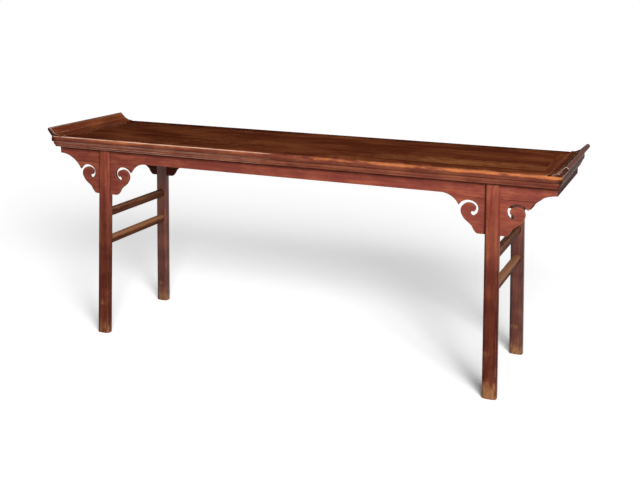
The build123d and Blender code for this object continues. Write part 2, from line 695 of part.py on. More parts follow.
def end_apron():
    """Right end apron, rabbeted over the ends of the long aprons."""
    inner = END_APRON_FACE - END_APRON_THICKNESS
    low = FRAME_UNDERSIDE - END_APRON_HEIGHT
    body = block((inner, -BOARD_FACE_Y, low), (END_APRON_FACE, BOARD_FACE_Y, FRAME_UNDERSIDE))
    notch = block(
        (inner - 1, -BOARD_FACE_Y - 1, low - 1),
        (LONG_APRON_END, -BOARD_FACE_Y + BOARD_THICKNESS, FRAME_UNDERSIDE + 1),
    )
    body -= notch
    body -= mirror(notch, Plane.XZ)
    return body + end_tongue(1)


# ---------------------------------------------------------------- stretchers
def stretcher(height, blank):
    """Right-hand side stretcher with shoulders fitted to both legs and a tenon at each end."""
    x, y = leg_axis(height)
    plane = Plane(origin=(x, -y, height), x_dir=(1, 0, 0), z_dir=(0, -1, 0))
    section = crowned_section(
        STRETCHER_WIDTH,
        STRETCHER_DEPTH,
        STRETCHER_CROWN,
        STRETCHER_CROWN,
        STRETCHER_CORNER_RADIUS,
        plane,
    )
    bar = extrude(section, 2 * y, dir=(0, 1, 0))
    bar -= blank
    bar -= mirror(blank, Plane.XZ)
    longest = max(bar.solids(), key=lambda solid: solid.volume)
    return longest + stretcher_tenon(height)


# ---------------------------------------------------------------- the pieces
def build_pieces():
    """Every piece of the table, by name."""
    pieces = {"top_panel": top_panel()}
    for name, face in FACES.items():
        pieces[f"{name}_rail"] = long_rail(face)
    batten_names = [f"batten_{i + 1}" for i in range(BATTEN_COUNT)]
    for name, x in zip(batten_names, batten_places()):
        pieces[name] = batten(x)

    board = head_board()
    apron_front = long_apron(board)
    spandrel_front = spandrel(board)
    leg_front = leg()
    blank = leg_blank()
    end_apron_right = end_apron()
    rungs = {level: stretcher(height, blank) for level, height in STRETCHER_HEIGHTS.items()}

    for name, side in SIDES.items():
        pieces[f"{name}_end_rail"] = end_rail(side)
        pieces[f"{name}_flange"] = flange(side)
        pieces[f"{name}_end_apron"] = mirrored(end_apron_right, side, -1)
        for level, rung in rungs.items():
            pieces[f"{name}_{level}_stretcher"] = mirrored(rung, side, -1)
    for face_name, face in FACES.items():
        pieces[f"{face_name}_apron"] = mirrored(apron_front, 1, face)
        for side_name, side in SIDES.items():
            corner = f"{face_name}_{side_name}"
            pieces[f"{corner}_leg"] = mirrored(leg_front, side, face)
            pieces[f"{corner}_spandrel"] = mirrored(spandrel_front, side, face)
    return pieces


def main():
    os.makedirs("parts", exist_ok=True)
    for name, shape in build_pieces().items():
        export_step(shape, f"parts/{name}.step")
        print(f"{name}: {len(shape.solids())} solid, {shape.volume / 1000:.1f} cm3")


if __name__ == "__main__":
    main()
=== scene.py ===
"""Altar table with everted flanges: the finished look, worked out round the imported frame.

Every piece is a numpy surface with softly rubbed edges and a solid hardwood grain, so an end
shows end grain and a long side shows long grain.  The frame is in metres; the sizes of the
pieces are in millimetres, as on a maker's drawing, and are turned into metres when a mesh is
made.  X runs along the table, Y from front to back and Z up.
"""

import logging
from collections.abc import Callable
from dataclasses import dataclass, field, replace
from enum import Enum, IntEnum
from functools import partial
from math import acos, cos, pi, radians, sin, sqrt, tan
from typing import ClassVar

import bmesh
import bpy
import numpy as np
from mathutils import Euler, Matrix, Vector


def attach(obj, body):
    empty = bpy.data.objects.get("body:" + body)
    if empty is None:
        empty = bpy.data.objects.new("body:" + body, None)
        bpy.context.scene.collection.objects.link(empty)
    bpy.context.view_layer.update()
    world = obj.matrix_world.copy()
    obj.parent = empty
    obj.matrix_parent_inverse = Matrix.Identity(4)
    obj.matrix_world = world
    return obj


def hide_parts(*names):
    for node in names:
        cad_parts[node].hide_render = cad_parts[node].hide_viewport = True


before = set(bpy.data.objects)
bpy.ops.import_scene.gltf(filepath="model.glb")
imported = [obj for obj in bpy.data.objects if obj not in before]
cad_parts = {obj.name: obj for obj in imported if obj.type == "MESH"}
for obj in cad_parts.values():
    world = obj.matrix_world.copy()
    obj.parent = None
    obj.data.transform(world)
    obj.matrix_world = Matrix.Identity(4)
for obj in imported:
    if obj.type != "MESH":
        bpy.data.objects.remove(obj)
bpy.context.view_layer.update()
LOG = logging.getLogger("altar_table")
MM = 0.001                              # one millimetre in metres
WELD = 2e-6                             # points nearer than this are one point, in metres
CREASE = radians(40)                    # faces that meet at more than this shade apart
QUARTER = np.linspace(0, pi / 2, 5)     # turn of a softened rim, from the face to the wall
JOINT_ROOM = 0.05                       # what a piece stands back from a neighbour above it
LONG_WAVE = 0.011                       # turn of the longest ripple in 1 mm: one in 571 mm
Points = np.ndarray
Place = tuple[float, float, float]
Wear = Callable[[Points], Points]
Choice = Callable[[Points, Points], Points]


# ---------------- shared sizes
class Side(IntEnum):
    """End of the table, as its sign along X."""

    LEFT = -1
    RIGHT = 1


class Face(IntEnum):
    """Long side of the table, as its sign along Y."""

    FRONT = -1
    BACK = 1


def label(*parts: IntEnum) -> str:
    """Name of a place on the table, such as front_left."""
    return "_".join(part.name.lower() for part in parts)


@dataclass(frozen=True)
class TableSizes:
    """Sizes that several sub-assemblies share, in millimetres."""

    top: float = 830.0
    underside: float = 785.5
    half_length: float = 1028.0
    half_depth: float = 260.5
    rail_width: float = 80.0
    board_y: float = 219.0
    board_thickness: float = 12.0
    seam: float = 728.0
    spandrel_bottom: float = 599.5
    apron_height: float = 50.0
    end_apron_height: float = 30.0
    end_apron_face: float = 1011.8
    end_apron_lip: float = 6.5
    leg_foot: tuple[float, float] = (825.5, 238.0)
    leg_lean: tuple[float, float] = (34.0, 20.0)

    def leg_place(self, height: Points) -> tuple[Points, Points]:
        """Middle of a leg, along X and Y, at each height: a straight line from foot to head."""
        share = np.asarray(height) / self.underside
        return tuple(foot - lean * share for foot, lean in zip(self.leg_foot, self.leg_lean))

    def from_leg(self, points: Points) -> tuple[Points, Points]:
        """How far points lie, along X and Y, from the middle of the leg that is nearest."""
        place = self.leg_place(points[..., 2])
        return tuple(points[..., i] - np.sign(points[..., i]) * place[i] for i in range(2))

    @property
    def spandrel_x(self) -> float:
        """Middle of a spandrel: the leg's middle halfway up its head."""
        return float(self.leg_place((self.underside + self.spandrel_bottom) / 2)[0])


SIZES = TableSizes()


# ---------------- outlines
@dataclass(frozen=True)
class Corner:
    """Corner of an outline: where it is and the radius that softens it."""

    x: float
    y: float
    radius: float = 0.0


def plain(line: Points) -> list[Corner]:
    """Corners that are kept as they are, at the points of a line."""
    return [Corner(*point) for point in line]


def arc(start: tuple, middle: tuple, end: tuple, count: int) -> Points:
    """Points on the circle through three points.

    The centre is where the perpendicular bisectors of the two chords meet, and the angle runs
    evenly from start to end on the side where middle lies.

    Args:
        start, middle, end: points on the circle.
        count: how many points, ends included.
    Returns:
        (count, 2) array.
    """
    a, b, c = (np.asarray(p, float) for p in (start, middle, end))
    sides = 2 * np.array([b - a, c - a])
    centre = np.linalg.solve(sides, [b @ b - a @ a, c @ c - a @ a])
    angles = [np.arctan2(*(p - centre)[::-1]) for p in (a, b, c)]
    to_middle, to_end = ((angle - angles[0]) % (2 * pi) for angle in angles[1:])
    sweep = to_end if to_middle < to_end else to_end - 2 * pi
    turn = angles[0] + np.linspace(0, sweep, count)
    return centre + np.linalg.norm(a - centre) * np.column_stack([np.cos(turn), np.sin(turn)])


def level_arc(start: tuple, level: tuple, count: int) -> Points:
    """Points on the circle that passes through start and lies level at the other end.

    Its radius is the run squared plus the rise squared, over twice the rise.

    Args:
        start: where the arc starts.
        level: where it ends and lies level.
        count: how many points, ends included.
    Returns:
        (count, 2) array.
    """
    run, rise = start[0] - level[0], start[1] - level[1]
    radius = (run ** 2 + rise ** 2) / (2 * rise)
    half_turn = acos((radius - rise) / radius) / 2
    way = 1 if run > 0 else -1
    middle = (level[0] + way * radius * sin(half_turn), level[1] + radius * (1 - cos(half_turn)))
    return arc(start, middle, level, count)


def area(loop: Points) -> float:
    """Twice the area inside an outline, above 0 where it runs anticlockwise."""
    x, y = loop.T
    return np.sum(x * np.roll(y, -1) - np.roll(x, -1) * y)


def rounded(corners: list[Corner], steps: int = 5, guard: float = 0.7) -> tuple[Points, Points]:
    """Closed outline whose corners are softened by arcs.

    Each arc touches both sides at the radius divided by the tangent of half the corner's
    angle, and is the even turn of its first spoke into its last.  A guard point follows on
    each side of an arc, so the flat beyond it shades flat.  No arc takes up more than 0.45 of
    its shorter side.

    Args:
        corners: the outline's corners in order; a corner with no radius is kept as a point.
        steps: arc steps per softened corner.
        guard: how far the guard points stand off the arc.
    Returns:
        (n, 2) outline and (n,) marks: 1 on a convex softened corner, -1 on a hollow one.
    """
    places = np.array([(c.x, c.y) for c in corners])
    way = area(places)
    guard_mark = 0.35
    loop, marks = [], []
    for i, corner in enumerate(corners):
        here, before, after = places[i], places[i - 1], places[(i + 1) % len(corners)]
        if corner.radius == 0:
            loop.append(here[None])
            marks.append([0.0])
            continue
        back, on = before - here, after - here
        room = min(np.linalg.norm(back), np.linalg.norm(on))
        back, on = back / np.linalg.norm(back), on / np.linalg.norm(on)
        half = acos(np.clip(back @ on, -1, 1)) / 2
        reach = min(corner.radius / tan(half), 0.45 * room)
        stand_off = min(reach + guard, 0.49 * room)
        radius = reach * tan(half)
        centre = here + (back + on) / np.linalg.norm(back + on) * radius / sin(half)
        first, last = here + back * reach - centre, here + on * reach - centre
        turn = pi - 2 * half
        share = np.linspace(0, 1, steps + 1)[:, None]
        spokes = (np.sin((1 - share) * turn) * first + np.sin(share * turn) * last) / sin(turn)
        loop.append(np.vstack([here + back * stand_off, centre + spokes, here + on * stand_off]))
        hollow = (back[1] * on[0] - back[0] * on[1]) * way < 0
        mark = np.full(steps + 3, -1.0 if hollow else 1.0)
        mark[[0, -1]] *= guard_mark
        marks.append(mark)
    return np.vstack(loop), np.concatenate(marks)


def offset(loop: Points, distance: Points) -> Points:
    """Closed outline moved inwards, once for each distance.

    Each point moves along its mitre: the sum of its two sides' normals, divided by one plus
    their dot product, which keeps both sides at the distance.  Sharp points are held to three
    times the distance.

    Args:
        loop: (n, 2) outline.
        distance: (m,) distances, or (m, n) with one for each point.
    Returns:
        (m, n, 2) outlines.
    """
    distance = np.asarray(distance, float).reshape(len(distance), -1)
    sides = np.roll(loop, -1, 0) - loop
    sides /= np.linalg.norm(sides, axis=1)[:, None]
    normals = np.column_stack([-sides[:, 1], sides[:, 0]]) * np.sign(area(loop))
    before = np.roll(normals, 1, 0)
    dot = np.sum(normals * before, 1)[:, None]
    mitre = (normals + before) / np.maximum(1 + dot, 0.3)
    length = np.linalg.norm(mitre, axis=1)[:, None]
    mitre *= np.minimum(1, 3 / np.maximum(length, 1e-9))
    return loop[None] + distance[..., None] * mitre[None]


def rim(radius: float, turn: Points = QUARTER) -> tuple[Points, Points]:
    """How far the rings of a softened rim lie in from the wall and below the face.

    The first is the radius times one minus the sine of the turn, the second the radius times
    one minus its cosine.
    """
    return radius * (1 - np.sin(turn)), radius * (1 - np.cos(turn))


def both_ends(end: Points, between: Points | tuple = ()) -> Points:
    """Row of values that starts with an end, and ends with the same end turned round."""
    return np.concatenate([end, between, end[::-1]])


def xyz(x: Points, y: Points, z: Points) -> Points:
    """Points from their three parts, which are broadcast together."""
    return np.stack(np.broadcast_arrays(x, y, z), -1)


# ---------------- shares of wear
def ripple(along: Points, seed: float, waves: tuple = (1.0, 2.7, 6.1, 13.0)) -> Points:
    """Gentle hand-made unevenness between -1 and 1.

    A sum of sines whose lengths don't divide each other.  Each is divided by its turns to the
    power of the fall, so shorter waves are weaker, and the seed shifts each by its own amount.

    Args:
        along: distance in millimetres.
        seed: shifts the waves.
        waves: turns of each wave in the length of the longest one.
    Returns:
        An array like along.
    """
    fall, seed_step = 0.6, 3.1
    total = sum(
        np.sin(along * w * LONG_WAVE + seed * (seed_step + w)) / w ** fall for w in waves
    )
    return total / sum(1 / w ** fall for w in waves)


def fade(distance: Points, width: float) -> Points:
    """Bell: one at no distance, and e to the minus square of distance over width beyond."""
    return np.exp(-(distance / width) ** 2)


def ramp(value: Points, start: float, length: float) -> Points:
    """Nought up to the start, rising evenly to one over the length."""
    return np.clip((value - start) / length, 0, 1)


def under(value: Points, level: float, width: float) -> Points:
    """One well under a level and nought well over it: half of one less a hyperbolic tangent."""
    return 0.5 - 0.5 * np.tanh((value - level) / width)


@dataclass(frozen=True)
class Spot:
    """Soft worn spot, in millimetres."""

    middle: Place
    size: Place
    strength: float

    def at(self, points: Points) -> Points:
        """Wear at (n, 3) points: a bell over the scaled distance from the middle."""
        away = (points - np.asarray(self.middle)) / np.asarray(self.size)
        return self.strength * np.exp(-np.sum(away ** 2, -1))


# ---------------- skins
@dataclass
class Skin:
    """Closed surface while it is put together, in millimetres."""

    name: str
    points: list[Points] = field(default_factory=list)
    faces: list[list[int]] = field(default_factory=list)
    marks: list[Points] = field(default_factory=list)
    count: int = 0

    def _take(self, points: Points, marks: Points | float) -> int:
        """Stores points and their marks.

        Args:
            points: (..., 3) array.
            marks: one for each point or for all.
        Returns:
            The number of the first one.
        """
        first = self.count
        self.points.append(points.reshape(-1, 3))
        self.marks.append(np.broadcast_to(marks, points.shape[:-1]).reshape(-1))
        self.count += len(self.points[-1])
        return first

    def grid(self, points: Points, marks: Points | float = 0.0, closed: bool = False) -> None:
        """Adds the quads of a grid of points.

        Args:
            points: (rows, columns, 3) array.
            marks: rubbed (above 0) or hollow (below 0), one for each point or for all.
            closed: whether the last column joins the first.
        """
        rows, columns = points.shape[:2]
        numbers = self._take(points, marks) + np.arange(rows * columns).reshape(rows, columns)
        if closed:
            numbers = np.hstack([numbers, numbers[:, :1]])
        corners = numbers[:-1, :-1], numbers[:-1, 1:], numbers[1:, 1:], numbers[1:, :-1]
        self.faces.extend(np.stack(corners, -1).reshape(-1, 4).tolist())

    def cap(self, loop: Points, mark: float = 0.0) -> None:
        """Adds one flat face inside a loop of (n, 3) points."""
        first = self._take(loop, mark)
        self.faces.append(list(range(first, first + len(loop))))

    def tube(self, points: Points, marks: Points | float, end_mark: float = 0.0) -> "Skin":
        """Adds rings of points and closes both ends.

        Args:
            points: (rings, n, 3) array.
            marks: one for each point or for all.
            end_mark: mark of both ends.
        Returns:
            The skin.
        """
        self.grid(points, marks, closed=True)
        self.cap(points[0], end_mark)
        self.cap(points[-1], end_mark)
        return self

    def finish(
        self, rub: Wear | None = None, aged: Wear | None = None, edge: Wear | None = None
    ) -> bpy.types.Object:
        """Makes the object: welds the seams, turns the faces out, stores wear and painted shade.

        Args:
            rub: gives the heavy wear, 0 to 1, at (n, 3) points in millimetres.
            aged: gives the painted shade, 0 to 1, likewise: darkening that stands in for shade.
            edge: gives the share of the edge wear that is kept, likewise; on the rails and flanges
                it also keeps painted highlights.
        Returns:
            The mesh object, linked to the scene.
        """
        points, marks = np.vstack(self.points), np.concatenate(self.marks)
        mesh = bpy.data.meshes.new(self.name)
        mesh.from_pydata((points * MM).tolist(), [], self.faces)
        wear = {
            "edge": np.clip(marks, 0, 1) * (edge(points) if edge else 1.0),
            "hollow": np.clip(-marks, 0, 1),
            "rub": rub(points) if rub else np.zeros(len(points)),
            # Painted shade: how far the colour is darkened to stand in for shade.
            "aged": aged(points) if aged else np.zeros(len(points)),
        }
        for title, values in wear.items():
            mesh.attributes.new(title, "FLOAT", "POINT").data.foreach_set("value", values)
        shape = bmesh.new()
        shape.from_mesh(mesh)
        bmesh.ops.remove_doubles(shape, verts=shape.verts, dist=WELD)
        bmesh.ops.recalc_face_normals(shape, faces=shape.faces)
        bmesh.ops.triangulate(shape, faces=[face for face in shape.faces if len(face.verts) > 4])
        shape.to_mesh(mesh)
        shape.free()
        mesh.shade_smooth()
        mesh.set_sharp_from_angle(angle=CREASE)
        return linked(self.name, mesh)


def linked(name: str, data: bpy.types.ID) -> bpy.types.Object:
    """Object of a mesh, lamp or camera, linked to the scene.

    Args:
        name: name of the object.
        data: its mesh, lamp or camera.
    Returns:
        The object.
    """
    thing = bpy.data.objects.new(name, data)
    bpy.context.scene.collection.objects.link(thing)
    return thing


class Plane(Enum):
    """Plane that an outline is drawn in; the third axis is the thickness."""

    XZ = (0, 2, 1)
    XY = (0, 1, 2)

    def place(self, outline: Points, depth: Points) -> Points:
        """Turns outline points and their depths into points in space.

        Args:
            outline: (..., 2) array.
            depth: distance along the third axis, for each point.
        Returns:
            (..., 3) array.
        """
        placed = np.empty(outline.shape[:-1] + (3,))
        across, up, through = self.value
        placed[..., across], placed[..., up] = outline[..., 0], outline[..., 1]
        placed[..., through] = depth
        return placed


@dataclass(frozen=True)
class Plate:
    """Flat piece with softened rims: its outline carried through its thickness.

    Attributes:
        plane: plane of the outline.
        low, high: depths of the two faces.
        edge: radius of the rims.
        inner: how far the last ring lies in from the rim.
        stations: rings between the rims, beside the two that end them.
    """

    plane: Plane
    low: float
    high: float
    edge: float
    inner: float = 1.6
    stations: int = 0

    def skin(
        self, name: str, outline: Points, wall: Points | float = 0.0, soft: Points | float = 1.0
    ) -> Skin:
        """Carries an outline through the thickness.

        Two rings lie flat on each face inside the softened rim, so the face shades flat and
        the wear fades over it.

        Args:
            name: name of the piece.
            outline: (n, 2) closed outline.
            wall: marks of the wall between the rims, one for each outline point or for all.
            soft: share of the softening at each outline point; low where a joint closes on it.
        Returns:
            The closed skin.
        """
        inset, depth = rim(self.edge)
        inset = np.concatenate([[self.edge + self.inner, self.edge + 0.35 * self.inner], inset])
        depth = np.concatenate([[0, 0], depth])
        mark = np.concatenate([[0, 0.45], np.sin(2 * QUARTER) ** 0.5 * 0.2 + 0.8])
        mark[-1] = 0.35
        between = np.zeros(self.stations)
        insets = both_ends(inset, between)[:, None]
        marks = both_ends(mark, between)[:, None]
        middle = np.linspace(self.low + self.edge, self.high - self.edge, self.stations + 2)[1:-1]
        depths = np.concatenate([self.low + depth, middle, self.high - depth[::-1]])
        walls = (insets == 0) * np.asarray(wall)
        rings = offset(outline, insets * np.broadcast_to(soft, len(outline)))
        points = self.plane.place(rings, depths[:, None])
        return Skin(name).tube(points, np.where(walls < 0, walls, marks * soft))


# ---------------- node sheets
Socket = bpy.types.NodeSocket


@dataclass(frozen=True)
class Noise:
    """Noise pattern: its changes in a metre along and across the grain, and its finer octaves."""

    along: float
    across: float
    detail: float = 2.0
    rough: float = 0.5


class NodeSheet:
    """Thin drawing board for a node tree: one short call for each kind of node."""

    def __init__(self, tree: bpy.types.NodeTree) -> None:
        """Takes the tree that the nodes go into."""
        self.tree = tree

    @classmethod
    def fresh(cls, block: bpy.types.Material | bpy.types.World) -> "NodeSheet":
        """Sheet of a material or a world, emptied first.

        Args:
            block: material or world.
        Returns:
            The empty sheet.
        """
        block.use_nodes = True
        block.node_tree.nodes.clear()
        return cls(block.node_tree)

    def node(self, kind: str, feeds: dict | None = None, **settings: object) -> bpy.types.Node:
        """Adds a node.

        Args:
            kind: type of the node.
            feeds: what its inputs get, by their names or numbers.
            settings: properties of the node.
        Returns:
            The node.
        """
        made = self.tree.nodes.new(kind)
        for key, value in settings.items():
            setattr(made, key, value)
        for key, value in (feeds or {}).items():
            self.feed(made.inputs[key], value)
        return made

    def feed(self, socket: Socket, value: object) -> None:
        """Links or sets a socket.

        Args:
            socket: input of a node.
            value: output to link, or a number, a colour or a vector.
        """
        if isinstance(value, Socket):
            self.tree.links.new(value, socket)
        else:
            wants_alpha = socket.type == "RGBA" and len(value) == 3
            socket.default_value = (*value, 1.0) if wants_alpha else value

    def math(self, operation: str, *values: object, clamp: bool = False) -> Socket:
        """Math node on one, two or three values."""
        feeds = dict(enumerate(values))
        return self.node("ShaderNodeMath", feeds, operation=operation, use_clamp=clamp).outputs[0]

    def plus(self, a: object, b: object, clamp: bool = False) -> Socket:
        """Sum of two values."""
        return self.math("ADD", a, b, clamp=clamp)

    def minus(self, a: object, b: object) -> Socket:
        """Difference of two values."""
        return self.math("SUBTRACT", a, b)

    def times(self, a: object, b: object) -> Socket:
        """Product of two values."""
        return self.math("MULTIPLY", a, b)

    def vector(self, operation: str, a: object, b: object) -> Socket:
        """Vector math node on two vectors that gives a vector."""
        return self.node("ShaderNodeVectorMath", {0: a, 1: b}, operation=operation).outputs[0]

    def length(self, vector: Socket) -> Socket:
        """Length of a vector."""
        return self.node("ShaderNodeVectorMath", {0: vector}, operation="LENGTH").outputs["Value"]

    def dot(self, a: object, b: object) -> Socket:
        """Dot product of two vectors."""
        made = self.node("ShaderNodeVectorMath", {0: a, 1: b}, operation="DOT_PRODUCT")
        return made.outputs["Value"]

    def noise(self, vector: Socket, kind: Noise, scale: object = 1.0) -> bpy.types.Node:
        """Noise whose long way is the vector's X.

        Args:
            vector: where the noise is read.
            kind: its pattern.
            scale: a further scale.
        Returns:
            The texture node: its first output is a value, its second a colour.
        """
        stretched = self.vector("MULTIPLY", vector, (kind.along, kind.across, kind.across))
        return self.node("ShaderNodeTexNoise", {
            "Vector": stretched, "Scale": scale, "Detail": kind.detail, "Roughness": kind.rough,
        })

    def span(
        self, value: object, low: float, high: float, to_low: float = 0.0, to_high: float = 1.0
    ) -> Socket:
        """Value taken smoothly from one range to another and held at its ends.

        Args:
            value: value in the first range.
            low, high: the first range.
            to_low, to_high: the second one.
        Returns:
            The value in the second range.
        """
        labels = ("Value", "From Min", "From Max", "To Min", "To Max")
        feeds = dict(zip(labels, (value, low, high, to_low, to_high)))
        return self.node("ShaderNodeMapRange", feeds, interpolation_type="SMOOTHSTEP").outputs[0]

    def mix(self, share: object, a: object, b: object, blend: str = "MIX") -> Socket:
        """Mix of two colours, which the node takes in sockets 6 and 7 and puts out in 2."""
        feeds = {0: share, 6: a, 7: b}
        return self.node("ShaderNodeMix", feeds, data_type="RGBA", blend_type=blend).outputs[2]

    def shaded(self, share: object, base: Socket, tint: tuple) -> Socket:
        """Colour that is multiplied by a tint where the share is high."""
        return self.mix(share, base, self.mix(1.0, base, tint, "MULTIPLY"))

    def attribute(self, title: str) -> Socket:
        """Value of a vertex attribute."""
        return self.node("ShaderNodeAttribute", attribute_name=title).outputs["Fac"]

    def place(self) -> Socket:
        """Object coordinates."""
        return self.node("ShaderNodeTexCoord").outputs["Object"]

    def surface(self, shader: bpy.types.Node, kind: str = "ShaderNodeOutputMaterial") -> None:
        """Puts a shader on the surface."""
        self.node(kind, {"Surface": shader.outputs[0]})


class SocketKind(Enum):
    """Kinds of group sockets."""

    VALUE = "NodeSocketFloat"
    COLOUR = "NodeSocketColor"
    VECTOR = "NodeSocketVector"

    def named(self, *labels: str) -> dict[str, "SocketKind"]:
        """Sockets of this kind with these names."""
        return dict.fromkeys(labels, self)


VALUE, COLOUR, VECTOR = SocketKind
MASKS = VALUE.named("Rings", "Streaks", "Fibres", "Pores", "Mottle")


class NodeGroup:
    """Shader node group that is built once and placed in many materials."""

    name: ClassVar[str]
    inputs: ClassVar[dict[str, SocketKind]]
    outputs: ClassVar[dict[str, SocketKind]]

    def begin(self) -> tuple[NodeSheet, dict[str, Socket]]:
        """Makes the tree and its sockets.

        Returns:
            The tree's sheet, and the values that come in by name.
        """
        tree = bpy.data.node_groups.new(self.name, "ShaderNodeTree")
        for way, sockets in (("INPUT", self.inputs), ("OUTPUT", self.outputs)):
            for title, kind in sockets.items():
                tree.interface.new_socket(title, in_out=way, socket_type=kind.value)
        sheet = NodeSheet(tree)
        return sheet, dict(sheet.node("NodeGroupInput").outputs.items())

    def end(self, sheet: NodeSheet, **values: Socket) -> None:
        """Puts out the group's values, by the names of its outputs."""
        sheet.node("NodeGroupOutput", values)

    def place(self, sheet: NodeSheet, **values: object) -> dict[str, Socket]:
        """Places the group in a material.

        Args:
            sheet: the material's sheet.
            values: what each input gets, with _ for a space in its name.
        Returns:
            The group's outputs by name.
        """
        feeds = {key.replace("_", " "): value for key, value in values.items()}
        tree = bpy.data.node_groups[self.name]
        return dict(sheet.node("ShaderNodeGroup", feeds, node_tree=tree).outputs.items())


class GrainGroup(NodeGroup):
    """Solid hardwood grain.  The grain runs along the vector's X, the pith is its X axis."""

    name = "hardwood_grain"
    inputs = VECTOR.named("Vector") | VALUE.named("Ring Scale", "Waver", "Mottle Scale")
    outputs = MASKS
    drift = Noise(1.1, 4.5, 3.0, 0.45)
    uneven = Noise(0.7, 14.0, 4.0)
    streaks = Noise(1.6, 62.0, 6.0, 0.62)
    fibres = Noise(11.0, 620.0, 4.0, 0.6)
    pores = Noise(34.0, 980.0)
    mottle = Noise(4.0, 10.0, 5.0, 0.6)
    full_turn = 6.283

    def build(self) -> None:
        """Draws the group.

        The vector wanders sideways with a slow noise; rings are the sine of the distance from
        the pith; streaks, fibres and pores are noises stretched more and more along the
        grain; mottle is a broad noise that is hardly stretched.
        """
        sheet, given = self.begin()
        vector = given["Vector"]
        slow = sheet.noise(vector, self.drift).outputs[1]
        centred = sheet.vector("SUBTRACT", slow, (0.5, 0.5, 0.5))
        drift = sheet.node(
            "ShaderNodeVectorMath", {0: centred, "Scale": given["Waver"]}, operation="SCALE"
        ).outputs[0]
        moved = sheet.vector("ADD", vector, drift)
        from_pith = sheet.length(sheet.vector("MULTIPLY", moved, (0.0, 1.0, 1.0)))
        uneven = sheet.noise(moved, self.uneven).outputs[0]
        turns = sheet.times(sheet.times(from_pith, given["Ring Scale"]), self.full_turn)
        wave = sheet.math("SINE", sheet.plus(turns, sheet.times(uneven, 7.0)))
        pores = sheet.noise(moved, self.pores).outputs[0]
        self.end(
            sheet,
            Rings=sheet.math("POWER", sheet.math("MULTIPLY_ADD", wave, 0.5, 0.5), 1.6),
            Streaks=sheet.noise(moved, self.streaks).outputs[0],
            Fibres=sheet.noise(moved, self.fibres).outputs[0],
            Pores=sheet.span(pores, 0.60, 0.70),
            Mottle=sheet.noise(moved, self.mottle, given["Mottle Scale"]).outputs[0],
        )


class ToneGroup(NodeGroup):
    """Turns the grain's masks into the colour, roughness and height of waxed hardwood."""

    name = "hardwood_tone"
    inputs = MASKS | COLOUR.named("Dark", "Middle", "Light") | VALUE.named(
        "Figure", "Roughness", "Streak Amount", "Mottle Amount"
    )
    outputs = COLOUR.named("Color") | VALUE.named("Roughness", "Height")
    mean_streak = 0.55
    fibre_tint = (0.42, 0.36, 0.34)
    pore_tint = (0.30, 0.26, 0.26)

    def build(self) -> None:
        """Draws the group.

        Streaks go from the dark to the middle colour and, where the broad mottle is high, on
        to the light one; late wood, fibres and pores darken that by shares of the figure.
        """
        sheet, given = self.begin()
        times, streaks, pores, dark = sheet.times, given["Streaks"], given["Pores"], given["Dark"]
        streak = sheet.span(streaks, 0.34, 0.66)
        off_mean = sheet.minus(streak, self.mean_streak)
        level = sheet.math("MULTIPLY_ADD", off_mean, given["Streak Amount"], self.mean_streak)
        warm = times(sheet.span(given["Mottle"], 0.40, 0.66), sheet.plus(times(streak, 0.6), 0.4))
        late = times(given["Rings"], times(given["Figure"], 0.55))
        fibre = times(sheet.span(given["Fibres"], 0.66, 0.34), times(given["Figure"], 0.42))
        base = sheet.mix(level, dark, given["Middle"])
        base = sheet.mix(times(warm, given["Mottle Amount"]), base, given["Light"])
        base = sheet.mix(late, base, sheet.mix(0.75, base, dark))
        base = sheet.shaded(fibre, base, self.fibre_tint)
        base = sheet.shaded(times(pores, 0.5), base, self.pore_tint)
        rough = sheet.plus(given["Roughness"], times(sheet.minus(streaks, 0.5), 0.22))
        height = sheet.minus(times(given["Fibres"], 0.45), times(pores, 0.8))
        self.end(
            sheet, Color=base, Roughness=sheet.plus(rough, times(pores, 0.16)),
            Height=sheet.plus(height, times(streaks, 0.8)),
        )


